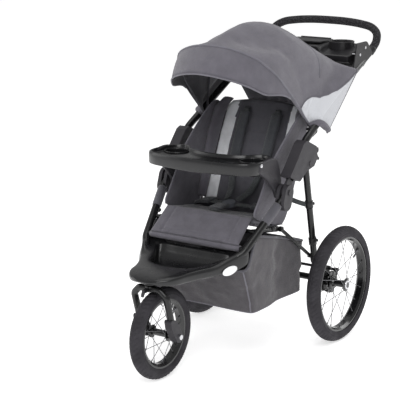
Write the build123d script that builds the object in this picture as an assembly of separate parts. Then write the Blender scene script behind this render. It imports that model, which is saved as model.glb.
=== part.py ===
from build123d import *
import math
import os

os.makedirs("parts", exist_ok=True)

# ----------------------------------------------------------------------
# Three-wheeled jogging stroller.  Millimetres, +Z up, the front wheel is
# towards -Y.  Shapes are written in the axle frame (ground under the rear
# axle is zero) and moved by FRAME_Y on export, so that the exported origin
# is on the ground in the middle of the stroller's length.
# ----------------------------------------------------------------------
FRAME_Y = 199.0

# wheels
REAR_R = 199.0          # rear wheel radius, 16 in air tyre
REAR_X = 280.0          # half track
REAR_TYRE = 23.5        # tyre section radius
REAR_RIM = 163.0        # rim flange radius
REAR_RIM_IN = 151.0     # rim inner radius
FRONT_R = 149.0         # front wheel radius, 12 in air tyre
FRONT_Y = -651.0
FRONT_TYRE = 22.5
FRONT_RIM = 112.0
FRONT_RIM_IN = 98.0
SPOKES = 20
SPOKE_R = 1.0
AXLE_R = 5.0
RUN = 0.05              # running clearance on the radius
STEER_Y = -700.0        # vertical steering axis
# frame tubes
TUBE_R = 12.5           # handle tube
FTUBE_R = 13.0          # front tube
LEG_R = 11.0            # rear leg
LINK_R = 6.0            # fold link
WALL = 1.5
# fold hinge, leg hinge, link hinge (y, z)
H = (-289.0, 566.0)
B = (-163.0, 640.0)
C = (-251.0, 431.0)
D = (-60.0, 299.0)
TUBE_X = 232.0
# canopy pivot
P = (-87.0, 737.0)
# child tray pivot
T = (-400.0, 668.0)
# seat crease
S = (-196.0, 440.0)

made = []


def put(name, *shapes):
    """Move shapes to the exported frame and write one file for the node."""
    solids = []
    for s in shapes:
        if isinstance(s, (list, tuple, ShapeList)):
            for t in s:
                solids.extend(t.solids())
        else:
            solids.extend(s.solids())
    moved = [Pos(0, FRAME_Y, 0) * s for s in solids]
    shape = moved[0] if len(moved) == 1 else Compound(children=moved)
    shape.label = name
    export_step(shape, os.path.join("parts", name + ".step"))
    made.append(name)


def cyl(p, d, r, h, hole=0.0):
    pl = Plane(origin=p, z_dir=d)
    c = extrude(pl * Circle(r), amount=h)
    if hole:
        c -= extrude(pl * Circle(hole), amount=h)
    return c


def xcyl(x0, x1, yz, r, hole=0.0):
    return cyl((min(x0, x1), yz[0], yz[1]), (1, 0, 0), r, abs(x1 - x0), hole)


def rod(a, b, r, hole=0.0):
    a, b = Vector(*a), Vector(*b)
    return cyl(tuple(a), tuple(b - a), r, (b - a).length, hole)


def slab(pts, x0, x1, fil=0.0):
    """Outline in the Y-Z plane, extruded from x0 to x1."""
    lo, hi = min(x0, x1), max(x0, x1)
    sk = Polygon(*pts, align=None)
    if fil:
        sk = fillet(sk.vertices(), fil)
    pl = Plane(origin=(lo, 0, 0), x_dir=(0, 1, 0), z_dir=(1, 0, 0))
    return extrude(pl * sk, amount=hi - lo, dir=(1, 0, 0))


def plan(pts, z0, z1, fil=0.0):
    sk = Polygon(*pts, align=None)
    if fil:
        sk = fillet(sk.vertices(), fil)
    return extrude(Plane.XY.offset(z0) * sk, amount=z1 - z0, dir=(0, 0, 1))


def mirror_plan(half):
    """Half outline with x >= 0 from front to back, closed by its mirror."""
    left = [(-x, y) for x, y in reversed(half) if x > 0]
    return list(half) + left


def pill(a, b, r, x0, x1):
    """Rounded bar between two Y-Z points, extruded along X."""
    dy, dz = b[0] - a[0], b[1] - a[1]
    n = math.hypot(dy, dz)
    py, pz = -dz / n * r, dy / n * r
    body = slab([(a[0] + py, a[1] + pz), (a[0] - py, a[1] - pz),
                 (b[0] - py, b[1] - pz), (b[0] + py, b[1] + pz)], x0, x1)
    return body + xcyl(x0, x1, a, r) + xcyl(x0, x1, b, r)


def bent(pts, r, bend, wall=0.0):
    if len(pts) > 2:
        path = FilletPolyline(*pts, radius=bend)
    else:
        path = Line(*pts)
    d = Vector(*pts[1]) - Vector(*pts[0])
    pl = Plane(origin=pts[0], z_dir=tuple(d))
    s = sweep(pl * Circle(r), path=path)
    if wall:
        s -= sweep(pl * Circle(r - wall), path=path)
    return s


def spin(profile, x, y, z):
    """Turn an (x, radius) outline about the axle line through (y, z)."""
    sk = Polygon(*profile, align=None)
    solid = revolve(Plane.XY * sk, axis=Axis.X)
    return Pos(x, y, z) * solid


def flip(s):
    return mirror(s, about=Plane.YZ)


def polar(c, r, deg):
    return (c[0] + r * math.cos(math.radians(deg)),
            c[1] + r * math.sin(math.radians(deg)))


# ----------------------------------------------------------------------
# wheels
# ----------------------------------------------------------------------
def tyre(R, sec, flange, half):
    c = R - sec
    ring = revolve(Plane.XY * (Pos(0, c) * (Circle(sec) - Circle(sec - 3.4))), axis=Axis.X)
    cut = revolve(Plane.XY * Polygon((-half - 8, 40), (half + 8, 40), (half + 8, flange), (-half - 8, flange), align=None), axis=Axis.X)
    return ring - cut


def rim(flange, inner, half):
    w = 2.4
    pts = [(-half, flange), (-half, flange - 6), (-half * 0.6, inner), (half * 0.6, inner),
           (half, flange - 6), (half, flange), (half - w, flange), (half - w, flange - 5),
           (half * 0.55, inner + w), (-half * 0.55, inner + w), (-half + w, flange - 5), (-half + w, flange)]
    return revolve(Plane.XY * Polygon(*pts, align=None), axis=Axis.X)


def hub(flange_x, flange_r, body_r, end_x, end_r, bore):
    pts = [(-end_x, bore), (-end_x, end_r), (-flange_x - 3, end_r + 2), (-flange_x - 3, flange_r - 2),
           (-flange_x - 2, flange_r), (-flange_x, flange_r), (-flange_x + 1, flange_r - 2), (-flange_x + 2, body_r + 3),
           (-flange_x + 8, body_r), (flange_x - 8, body_r), (flange_x - 2, body_r + 3),
           (flange_x - 1, flange_r - 2), (flange_x, flange_r), (flange_x + 2, flange_r), (flange_x + 3, flange_r - 2),
           (flange_x + 3, end_r + 2), (end_x, end_r), (end_x, bore)]
    return revolve(Plane.XY * Polygon(*pts, align=None), axis=Axis.X)


def spokes(flange_x, hub_r, rim_r, rim_x):
    """Laced pairs: each spoke leaves the flange at an angle and crosses its neighbours."""
    out = []
    for i in range(SPOKES):
        side = 1 if i % 2 else -1
        lean = 52.0 if (i // 2) % 2 else -52.0
        a_rim = 360.0 / SPOKES * i
        a_hub = a_rim + lean
        hy, hz = hub_r * math.cos(math.radians(a_hub)), hub_r * math.sin(math.radians(a_hub))
        ry, rz = rim_r * math.cos(math.radians(a_rim)), rim_r * math.sin(math.radians(a_rim))
        fx = flange_x + (1.2 if (i // 2) % 2 else -0.2)
        out.append(rod((side * fx, hy, hz), (side * rim_x, ry, rz), SPOKE_R))
    return out


def move(s, x, y, z):
    return Pos(x, y, z) * s


r_tyre = tyre(REAR_R, REAR_TYRE, REAR_RIM, 18)
r_rim = rim(REAR_RIM, REAR_RIM_IN, 18)
r_hub = hub(24, 21, 12, 29, 12, AXLE_R + RUN)
# the brake ring sits on the inner end of the rear hub: a lobed disc
BRAKE_R = 38.0
disc = cyl((0, 0, 0), (1, 0, 0), BRAKE_R, 12, AXLE_R + RUN)
for k in range(8):
    a = math.radians(45 * k + 36)
    disc -= cyl((-1, BRAKE_R * 1.04 * math.cos(a), BRAKE_R * 1.04 * math.sin(a)), (1, 0, 0), 7.2, 14)
disc_x = 41.0            # inner face of the ring, measured from the wheel's middle plane
neck = cyl((-disc_x + 12, 0, 0), (1, 0, 0), 13, disc_x - 12 - 27, AXLE_R + RUN)
r_spk = spokes(25, 17.5, REAR_RIM_IN + 1.2, 4)

for side, s in (("left", 1), ("right", -1)):
    put("rear_tyre_" + side, move(r_tyre, s * REAR_X, 0, REAR_R))
    put("rear_rim_" + side, move(r_rim, s * REAR_X, 0, REAR_R))
    hub_solid = r_hub + move(disc, -disc_x, 0, 0) + neck
    cap = cyl((29, 0, 0), (1, 0, 0), 12, 3.0) - cyl((28.5, 0, 0), (1, 0, 0), 6.2, 2.4)
    if s < 0:
        hub_solid, cap = flip(hub_solid), flip(cap)
    put("rear_hub_" + side, move(hub_solid + cap, s * REAR_X, 0, REAR_R))
    put("rear_spokes_" + side, [move(q, s * REAR_X, 0, REAR_R) for q in r_spk])

f_tyre = tyre(FRONT_R, FRONT_TYRE, FRONT_RIM, 17)
f_rim = rim(FRONT_RIM, FRONT_RIM_IN, 17)
f_hub = hub(31, 19, 11, 41, 10, AXLE_R + RUN)
f_spk = spokes(32, 15.5, FRONT_RIM_IN + 1.2, 4)
put("front_tyre", move(f_tyre, 0, FRONT_Y, FRONT_R))
put("front_rim", move(f_rim, 0, FRONT_Y, FRONT_R))
put("front_hub", move(f_hub, 0, FRONT_Y, FRONT_R))
put("front_spokes", [move(q, 0, FRONT_Y, FRONT_R) for q in f_spk])

# ----------------------------------------------------------------------
# fork, on a vertical stem
# ----------------------------------------------------------------------
CROWN_Z = 309.0
LEG_FX = 61.0
stem_r = 11.0
fork_pts = [(-LEG_FX, -678, 200), (-LEG_FX - 1, -704, 286), (-38, -708, CROWN_Z), (38, -708, CROWN_Z),
            (LEG_FX + 1, -704, 286), (LEG_FX, -678, 200)]
bow = bent(fork_pts, 11.0, 20.0)
stem = cyl((0, STEER_Y, CROWN_Z - 7.5), (0, 0, 1), stem_r, 350 - CROWN_Z + 7.5)
for k in range(4):
    stem -= Pos(0, STEER_Y, 337) * Rot(0, 0, 90 * k) * Pos(0, stem_r, 0) * Box(8.8, 10, 9)
crown = cyl((0, STEER_Y, CROWN_Z - 7.5), (0, 0, 1), 20, 16)
fork = bow + crown + stem


def boot(s):
    x0, x1 = s * 47.5, s * 73.5
    body = slab([(-698, 213), (-666, 207), (-633, 156), (-633, 138), (-646, 130), (-662, 133), (-692, 184)], x0, x1, 6)
    return body


boots = []
for s in (1, -1):
    b = boot(s)
    b -= rod((s * LEG_FX, -678, 200), (s * (LEG_FX + 1), -704, 286), 11.0)
    b -= xcyl(s * 40, s * 80, (FRONT_Y, FRONT_R), AXLE_R)
    boots.append(b)
put("fork_boots", boots)
axle = xcyl(-79, 79, (FRONT_Y, FRONT_R), AXLE_R)
for s in (1, -1):
    nut = extrude(Plane(origin=(s * 73.5, FRONT_Y, FRONT_R), z_dir=(s, 0, 0)) * RegularPolygon(9, 6), amount=7)
    axle += nut
    axle += xcyl(s * 41.6, s * 47.5, (FRONT_Y, FRONT_R), 8)
put("front_axle", axle)

# spring tab that lets the front wheel come off, at the front of the crown
tab_pin = (-733.0, 306.0)
tab_lug = slab([(-722, 300), (-722, 312), (-738, 312), (-738, 300)], -4, 4)
tab_lug -= xcyl(-5, 5, tab_pin, 2.05)
crown_lug = slab([(-712, 300), (-712, 312), (-719, 312), (-727, 309), (-737, 309), (-737, 303), (-727, 303), (-719, 300)], 4.4, 8)
tab = slab([(-726.5, 301), (-726.5, 311), (-740, 311), (-747, 298), (-747, 290), (-743, 290), (-736, 301)], -4, 4)
tab += xcyl(-10, 10, tab_pin, 2.0)
lugs = crown_lug + flip(crown_lug)
lugs -= xcyl(-12, 12, tab_pin, 2.05)
fork = fork + lugs
put("fork", fork)
put("wheel_release_tab", tab)

# ----------------------------------------------------------------------
# footrest shell with the steering head inside its nose
# ----------------------------------------------------------------------
shell_half = [(0, -748), (38, -741), (71, -719), (92, -686), (100, -648), (112, -610), (140, -560),
              (176, -498), (200, -455), (196, -446), (0, -446)]
shell = plan(mirror_plan(shell_half), 300, 400)
shell &= slab([(-749, 333), (-735, 326), (-500, 318), (-452, 362), (-445, 372), (-445, 383), (-560, 365),
               (-650, 356), (-735, 351), (-749, 344)], -210, 210)
well_half = [(0, -615), (58, -612), (88, -596), (104, -560), (120, -520), (148, -462), (0, -462)]
well = plan(mirror_plan(well_half), 300, 420)
well &= slab([(-616, 400), (-602, 330), (-508, 324), (-470, 366), (-462, 400)], -210, 210)
shell -= well
head = cyl((0, STEER_Y, 323), (0, 0, 1), 24, 28)
head_cut = head
head = head - cyl((0, STEER_Y, 320), (0, 0, 1), stem_r + RUN, 34)
# latch slot behind the steering axis


def front_path(s):
    return [(s * TUBE_X, -304, 548), (s * 190, -468, 398), (s * 128, -556, 341), (s * 52, -655, 338), (s * 23, -692, 338)]


ftubes = {}
ftube_cut = {}
for side, s in (("left", 1), ("right", -1)):
    pts = front_path(s)
    ftube_cut[side] = bent(pts, FTUBE_R, 40.0)
    ftubes[side] = ftube_cut[side] - bent(pts, FTUBE_R - WALL, 40.0)
    ftubes[side] -= head_cut
    put("front_tube_" + side, ftubes[side].solids().sort_by(lambda q: -q.volume)[0])
shell -= ftube_cut["left"]
shell -= ftube_cut["right"]
shell -= cyl((0, STEER_Y, 300), (0, 0, 1), 24, 51)
shell -= Pos(0, STEER_Y + 29, 331) * Box(14.8, 44, 22)
shell_solid = shell.solids().sort_by(lambda q: -q.volume)[0]
put("footrest_shell", shell_solid)
head -= Pos(0, STEER_Y + 20, 337) * Box(8.6, 30, 8.6)
put("steering_head", head)

# swivel lock: a plunger behind the steering axis that slides into a notch of the stem
lock = Pos(0, STEER_Y + 27, 337) * Box(8, 30, 8)
lock += Pos(0, STEER_Y + 38, 328) * Box(14, 8, 12)
put("swivel_lock", lock)

# white ovals low on the shell's sides
refl = []
for s in (1, -1):
    n = Vector(s * 0.87, -0.5, 0.0)
    c = Vector(s * 165.5, -516.2, 347)
    pl = Plane(origin=tuple(c), x_dir=(-s * 0.5, -0.87, 0), z_dir=tuple(n))
    o = extrude(pl * Ellipse(26, 13), amount=4)
    refl.append((o - shell_solid - ftube_cut["left"] - ftube_cut["right"]).solids().sort_by(lambda q: -q.volume)[0])
put("shell_reflectors", refl)

# ----------------------------------------------------------------------
# fold joints
# ----------------------------------------------------------------------
t_cut = {}
for side, s in (("left", 1), ("right", -1)):
    a = polar(H, 47.5, 50.3)
    pts = [(s * TUBE_X, a[0], a[1]), (s * TUBE_X, -165, 715), (s * 222, 150, 893), (s * 209, 312, 953)]
    t_cut[side] = bent(pts, TUBE_R, 60.0)
    put("handle_tube_" + side, t_cut[side] - bent(pts, TUBE_R - WALL, 60.0))

lower, upper, hbolts = [], [], []
for s in (1, -1):
    side = "left" if s > 0 else "right"
    low = pill(H, (-300, 533), 25, s * 216, s * 250)
    slot = slab([(-340, 545), (-240, 545), (-240, 640), (-340, 640)], s * 227.2, s * 236.8)
    slot += xcyl(s * 227.2, s * 236.8, H, 19)
    low -= slot
    low -= ftube_cut[side]
    low -= xcyl(s * 200, s * 260, H, 5)
    lower.append(low)
    hbolts.append(xcyl(s * 213, s * 253, H, 5) + xcyl(s * 250, s * 253.5, H, 9) + xcyl(s * 211.5, s * 216, H, 8))
    up = slab([(-291, 617), (-262, 648), (-207, 712), (-187, 720), (-124, 692), (-117, 652), (-138, 628),
               (-182, 620), (-228, 592)], s * 214, s * 252, 5)
    tongue = pill(H, polar(H, 64, 50.3), 16, s * 228, s * 236)
    up = up + tongue
    for sx in (s * 219.8, s * 244.2):
        up += slab([(-130, 690), (-106, 685), (-103, 676), (-106, 669), (-130, 664)], sx - 3.6, sx + 3.6)
    up -= xcyl(s * 210, s * 256, (-112, 677), 2 + RUN)
    up -= t_cut[side]
    # slot for the rear leg, which swings towards the front as the frame folds
    p0, p1 = polar(B, 13.5, 156), polar(B, 13.5, 16)
    sl = slab([p0, (p0[0] + 90 * math.cos(math.radians(242)), p0[1] + 90 * math.sin(math.radians(242))),
               (p1[0] + 90 * math.cos(math.radians(290)), p1[1] + 90 * math.sin(math.radians(290))), p1],
              s * 218.5, s * 244.5)
    sl += xcyl(s * 218.5, s * 244.5, B, 14.5)
    up -= sl
    # the slot must not open the bore of the handle tube: clear the tongue's eye
    up -= xcyl(s * 200, s * 260, H, 5 + RUN)
    up -= xcyl(s * 200, s * 260, B, 5)
    up_s = up.solids().sort_by(lambda q: -q.volume)[0]
    up_s = up_s + xcyl(s * 213, s * 253, B, 5) + xcyl(s * 252, s * 254, B, 9)
    upper.append(up_s)
put("fold_housings_lower", lower)
put("fold_housings_upper", upper)
put("fold_bolts", hbolts)

# finger levers that unlock the fold, behind the upper housings
for side, s in (("left", 1), ("right", -1)):
    piv = (-112.0, 677.0)
    lev = pill(piv, (-97, 648), 5, s * 224, s * 240)
    lev += pill((-97, 648), (-90, 644), 5, s * 224, s * 240)
    lev += xcyl(s * 217, s * 247, piv, 2)
    put("fold_lever_" + side, lev)

# ----------------------------------------------------------------------
# handle: two tubes, loop with foam grip, parent tray on side plates
# ----------------------------------------------------------------------
loop_pts = [(209, 312, 953), (218, 340, 984), (197, 366, 1020), (132, 382, 1041), (0, 388, 1046),
            (-132, 382, 1041), (-197, 366, 1020), (-218, 340, 984), (-209, 312, 953)]
core = bent(loop_pts, 10.0, 42.0)
grip_pts = [(213.5, 326, 968.5)] + loop_pts[1:-1] + [(-213.5, 326, 968.5)]
grip = bent(grip_pts, 14.0, 42.0) - bent(grip_pts, 10.0, 42.0)
loop = core - t_cut["left"] - t_cut["right"]
put("handle_loop", loop.solids().sort_by(lambda q: -q.volume)[0])
put("handle_grip", grip)

plate_yz = [(176, 888), (189, 893), (290, 944), (300, 952), (262, 992), (252, 997), (186, 996), (160, 896)]
rivet_yz = [(206, 955), (244, 976)]
plates, rivets = [], []
tray_body = slab([(170, 985), (168, 974), (196, 930), (206, 906), (216, 896), (238, 900), (282, 935), (318, 962), (318, 974), (296, 985)], -199, 199, 3)
tray_body -= plan([(-150, 400), (-150, 100), (150, 100), (150, 400)], 880, 950)
cups = []
CUP_R = 40.0
for s in (1, -1):
    side = "left" if s > 0 else "right"
    tray_body += cyl((s * 128, 254, 925), (0, 0, 1), CUP_R + 3.5, 67)
for s in (1, -1):
    tray_body -= cyl((s * 128, 254, 928), (0, 0, 1), CUP_R, 80)
tray_body -= Pos(0, 246, 972) * Box(140, 92, 36)
for s in (1, -1):
    side = "left" if s > 0 else "right"
    tray_body -= t_cut[side]
    pl_ = slab(plate_yz, s * 222.5, s * 226, 4)
    pl_ -= t_cut[side]
    for q in rivet_yz:
        pl_ -= xcyl(s * 190, s * 230, q, 3)
        tray_body -= xcyl(s * 190, s * 230, q, 3)
    arm = slab([(188, 905), (200, 985), (262, 985), (292, 948), (226, 905)], s * 199, s * 222.5, 3)
    arm -= t_cut[side]
    for q in rivet_yz:
        arm -= xcyl(s * 190, s * 230, q, 3)
    plates.append(pl_)
    tray_body += arm.solids()
    for q in rivet_yz:
        rivets.append(xcyl(s * 196, s * 226, q, 3) + xcyl(s * 226, s * 228, q, 5))
for q in (1, -1):
    for r_ in rivet_yz:
        tray_body -= xcyl(q * 190, q * 230, r_, 3)
tray_solids = tray_body.solids().sort_by(lambda q: -q.volume)
put("parent_tray", tray_solids[0])
put("handle_plates", plates)
put("plate_rivets", rivets)

# lid over the middle pocket, hinged along its rear edge
lid_pin = (298.0, 990.0)
lid = Pos(0, 246, 988) * Box(144, 96, 5)
lid += Pos(0, 294, 988.5) * Box(120, 8, 4)
lid += xcyl(-60, 60, lid_pin, 4)
put("parent_tray_lid", lid)

# ----------------------------------------------------------------------
# rear legs with the axle between them
# ----------------------------------------------------------------------
leg_cut = {}
for side, s in (("left", 1), ("right", -1)):
    top = (s * TUBE_X, B[0] - 2.6, B[1] + 8.8)
    bot = (s * 209, -32, 199)
    leg_cut[side] = rod(top, bot, LEG_R)
    leg = leg_cut[side] - rod(top, bot, LEG_R - WALL)
    leg -= xcyl(s * 205, s * 260, B, 5 + RUN)
    put("rear_leg_" + side, leg)
housings, raxles = [], []
for s in (1, -1):
    side = "left" if s > 0 else "right"
    hb = slab([(-52, 262), (-30, 268), (-12, 240), (26, 222), (34, 199), (26, 176), (0, 165), (-30, 172), (-54, 196)],
              s * 196, s * 233, 7)
    hb -= leg_cut[side]
    hb -= xcyl(s * 190, s * 240, (0, REAR_R), AXLE_R)
    housings.append(hb.solids().sort_by(lambda q: -q.volume)[0])
    raxles.append(xcyl(s * 196, s * 310.4, (0, REAR_R), AXLE_R))
bar_r = 11.0
crossbar = xcyl(-196, 196, (-30, 214), bar_r, bar_r - WALL)
put("rear_crossbar", crossbar)
put("rear_axles", raxles)
# brake bar along the rear of the housings: pedal in the middle, a pawl at each end
BR = (42.0, 232.0)
br_bar = xcyl(-238, 238, BR, 5)
for s in (1, -1):
    br_bar += xcyl(s * 236, s * 250, BR, 7)
    br_bar += pill(BR, polar(BR, 15, 250), 3, s * 240, s * 250)
pedal = slab([(38, 226), (46, 240), (86, 236), (104, 222), (102, 214), (84, 222), (48, 226)], -62, 62, 2)
br_bar += pedal
put("brake_bar", br_bar)
for s in (1, -1):
    k = slab([(22, 214), (18, 232), (42, 242), (52, 238), (52, 226), (40, 221), (32, 211)], s * 205, s * 216, 2)
    k -= xcyl(s * 190, s * 240, BR, 5 + RUN)
    n = 0 if s > 0 else 1
    housings[n] = (housings[n] + k).solids().sort_by(lambda q: -q.volume)[0]
put("axle_housings", housings)

# ----------------------------------------------------------------------
# seat frame, fold links
# ----------------------------------------------------------------------
RAIL_X = 181.0
rail_pts = [(RAIL_X, -404, 452), (RAIL_X, -222, 424), (-RAIL_X, -222, 424), (-RAIL_X, -404, 452)]
seat_frame = bent(rail_pts, 8.0, 36.0)
seat_frame += xcyl(-200, 200, (-404, 452), 7)
for s in (1, -1):
    seat_frame += xcyl(s * 176, s * 204, C, 4)
for side in ("left", "right"):
    seat_frame -= ftube_cut[side]
calf_bar = xcyl(-200, 200, (-462, 408), 7)
for side in ("left", "right"):
    calf_bar -= ftube_cut[side]
put("seat_frame", [seat_frame.solids().sort_by(lambda q: -q.volume)[0], calf_bar.solids().sort_by(lambda q: -q.volume)[0]])

links = []
for s in (1, -1):
    l = rod((s * 196, *C), (s * 196, *D), LINK_R, 0)
    l += xcyl(s * 190.6, s * 201.6, C, 9)
    l += xcyl(s * 190.6, s * 201.6, D, 8)
    l -= xcyl(s * 180, s * 210, C, 4 + RUN)
    links.append(l)
put("fold_links", links)

# ----------------------------------------------------------------------
# soft parts: closed solids of the true size and place
# ----------------------------------------------------------------------
seat_pad = slab([(-378, 494), (-386, 486), (-378, 466), (-212, 436), (-196, 444), (-204, 462)], -166, 166)
put("seat_pad", seat_pad)
calf = slab([(-381, 494), (-389, 487), (-463, 418), (-468, 418), (-474, 428), (-470, 434)], -170, 170)
calf = slab([(-388.5, 486.5), (-382, 493.5), (-466, 428), (-473, 420), (-466, 416.5), (-458, 418)], -170, 170)
put("calf_pad", calf)

ang = math.degrees(math.atan2(819 - 462, -36 + 200))


def back_pt(u, v):
    """u up the backrest's face from the crease, v behind the face."""
    c, s_ = math.cos(math.radians(ang)), math.sin(math.radians(ang))
    return (-200 + u * c + v * s_, 462 + u * s_ - v * c)


back_len = math.hypot(819 - 462, 164)
o = back_pt(0, 0)
bp = Plane(origin=(0, o[0], o[1]), x_dir=(1, 0, 0), z_dir=(0, -math.sin(math.radians(ang)), math.cos(math.radians(ang))))
out = [(-148, 6), (-156, 120), (-158, 240), (-150, 320), (-118, 370), (-60, 390), (0, 393),
       (60, 390), (118, 370), (150, 320), (158, 240), (156, 120), (148, 6)]
back_n = (0, math.sin(math.radians(ang)), -math.cos(math.radians(ang)))
pad = extrude(bp * Polygon(*out, align=None), amount=24, dir=back_n)
put("backrest_pad", pad)
outb = [(x * 0.93, 10 + y * 0.95) for x, y in out]
bp2 = Plane(origin=(0, *back_pt(0, 24.2)), x_dir=(1, 0, 0), z_dir=tuple(bp.z_dir))
board = extrude(bp2 * Polygon(*outb, align=None), amount=4, dir=back_n)
# two hinge ears under the board turn about the recline axis
ear_uv = [(-21, 13), (-18, 15.6), (-4, 20), (2, 24.3), (30, 24.3), (30, 28.2), (0, 28.2), (-14, 23), (-21, 16)]
for s in (1, -1):
    board += slab([back_pt(u, v) for u, v in ear_uv], s * 118, s * 140)
    board += xcyl(s * 118, s * 140, (-196, 440), 3)
put("backrest_board", board)

# side panels of the seat, between the pads and the frame tubes
side_yz = [(-376, 500), (-372, 528), (-330, 560), (-280, 640), (-210, 706), (-130, 770), (-70, 790), (-44, 770),
           (-70, 690), (-120, 590), (-160, 500), (-206, 440), (-222, 440), (-300, 462)]
sides = [slab(side_yz, s * 171, s * 177) for s in (1, -1)]
put("seat_side_panels", sides)

# basket: open-topped bag under the seat
b_out = [(-474, 338), (-440, 196), (-428, 190), (-140, 190), (-128, 198), (-84, 350), (-430, 358), (-452, 356)]
b_in = [(-470, 400), (-470, 338), (-437, 199), (-428, 194), (-140, 194), (-131, 200), (-87, 350), (-87, 400)]
bag = slab(b_out, -200, 200)
b_plan = [(-200, -480), (200, -480), (200, -240), (186, -150), (184, -70), (-184, -70), (-186, -150), (-200, -240)]
bag &= plan(b_plan, 150, 420)
b_plan_in = [(-196.5, -480), (196.5, -480), (196.5, -240), (182.5, -150), (180.5, -70), (-180.5, -70), (-182.5, -150), (-196.5, -240)]
inner = slab(b_in, -210, 210)
inner &= plan(b_plan_in, 150, 420)
bag -= inner
for side in ("left", "right"):
    bag -= ftube_cut[side]
put("basket", bag.solids().sort_by(lambda q: -q.volume)[0])

# harness: buckle with a push button, crotch and waist straps, shoulder straps
buckle_c = (0, -262, 492)
tilt = 13
bloc = Pos(*buckle_c) * Rot(tilt, 0, 0)
buckle = bloc * (Cylinder(22, 12) - Pos(0, 0, 3) * Cylinder(11.3, 14))
put("buckle", buckle)
button = bloc * (Pos(0, 0, 3.0) * Cylinder(11, 8.4))
put("buckle_button", button)
waist = []
for s in (1, -1):
    w = Pos(s * 78, -240, 488.5) * Rot(tilt, s * 8, -s * 12) * Box(104, 34, 5)
    waist.append(w)
crotch = Pos(0, -318, 489.5) * Rot(-tilt + 2, 0, 0) * Box(30, 60, 4)
waist.append(crotch)
put("lap_straps", waist)
shoulder = []
for s in (1, -1):
    a0, a1 = back_pt(90, -3.2), back_pt(345, -3.2)
    c0 = ((a0[0] + a1[0]) / 2, (a0[1] + a1[1]) / 2)
    q = Pos(s * 62, c0[0], c0[1]) * Rot(ang, 0, 0) * Box(44, 255, 6)
    shoulder.append(q)
put("shoulder_straps", shoulder)

# ----------------------------------------------------------------------
# canopy: bows turn about P, fabric panels overlap at the middle
# ----------------------------------------------------------------------
PROFILE = [(213.0, 6.0), (205.0, 61.0), (197.0, 107.0), (188.0, 170.0), (182.0, 227.0), (175.0, 288.0),
           (155.0, 340.0), (110.0, 378.0), (45.0, 397.0)]


def arch(phi, sx, sr, dr=0.0):
    """Half-plane section at angle phi: list of 3-D points across the stroller."""
    c, s_ = math.cos(math.radians(phi)), math.sin(math.radians(phi))
    pts = [(x * sx, max(r * sr + dr, 2.0)) for x, r in PROFILE]
    full = pts + [(0.0, 400.0 * sr + dr)] + [(-x, r) for x, r in reversed(pts)]
    return [(x, P[0] + r * c, P[1] + r * s_) for x, r in full]


def band(phi, sx, sr, th):
    o_ = arch(phi, sx, sr)
    c, s_ = math.cos(math.radians(phi)), math.sin(math.radians(phi))
    pts = [(x * sx, r * sr) for x, r in PROFILE]
    inn = []
    full = pts + [(0.0, 400.0 * sr)] + [(-x, r) for x, r in reversed(pts)]
    n = len(full)
    for i, (x, r) in enumerate(full):
        a, b = full[max(i - 1, 0)], full[min(i + 1, n - 1)]
        tx, tr = b[0] - a[0], b[1] - a[1]
        L = math.hypot(tx, tr)
        nx, nr = tr / L * th, -tx / L * th     # inward normal for points running from +x to -x
        if nr > 0:
            nx, nr = -nx, -nr
        if abs(x) > 150:
            nx = -abs(nx) if x > 0 else abs(nx)
        inn.append((x + nx, P[0] + (r + nr) * c, P[1] + (r + nr) * s_))
    e = [Polyline(*o_), Line(o_[-1], inn[-1]), Polyline(*reversed(inn)), Line(inn[0], o_[0])]
    return make_face(e)


def clipped(phi, sx, sr, th, rmin):
    """Same, starting at radius rmin."""
    f = band(phi, sx, sr, th)
    return f


front = loft([band(112, 0.992, 0.945, 3), band(134, 0.992, 0.985, 3)], ruled=True)
near_pivot = xcyl(-230, 230, P, 46)
front -= near_pivot
put("canopy_front_fabric", front.solids().sort_by(lambda q: -q.volume)[0])
# front bow: flat spring-steel strip in a plastic sleeve, with its pivot eyes
bow_pts = [(x - 5.5, r) for x, r in PROFILE[1:]]
c134, s134 = math.cos(math.radians(134)), math.sin(math.radians(134))


def bow_solid(phi, scale, w, t_in, t_out, sx=1.0):
    c, s_ = math.cos(math.radians(phi)), math.sin(math.radians(phi))
    pl = Plane(origin=(0, P[0], P[1]), x_dir=(1, 0, 0), z_dir=(0, -s_, c) if False else (0, s_, -c))
    # local axes: x is X, y runs along the angle phi
    if abs(pl.y_dir.Y - c) > 1e-3:
        pl = Plane(origin=(0, P[0], P[1]), x_dir=(1, 0, 0), z_dir=(0, -s_, c))
    half = [(x * sx, r * scale) for x, r in PROFILE] + [(0.0, 400.0 * scale)]

    def off(t):
        res = []
        n = len(half)
        for i, (x, r) in enumerate(half):
            a = half[max(i - 1, 0)]
            b = half[i + 1] if i + 1 < n else (-half[i - 1][0], half[i - 1][1])
            tx, tr = b[0] - a[0], b[1] - a[1]
            L = math.hypot(tx, tr)
            res.append((x - tr / L * t, r + tx / L * t))
        return res
    o_, i_ = off(t_out), off(t_in)
    o_full = o_ + [(-x, r) for x, r in reversed(o_[:-1])]
    i_full = i_ + [(-x, r) for x, r in reversed(i_[:-1])]
    sk = Polygon(*(o_full + list(reversed(i_full))), align=None)
    return extrude(pl.offset(-w / 2) * sk, amount=w, dir=(0, -s_, c))


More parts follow.
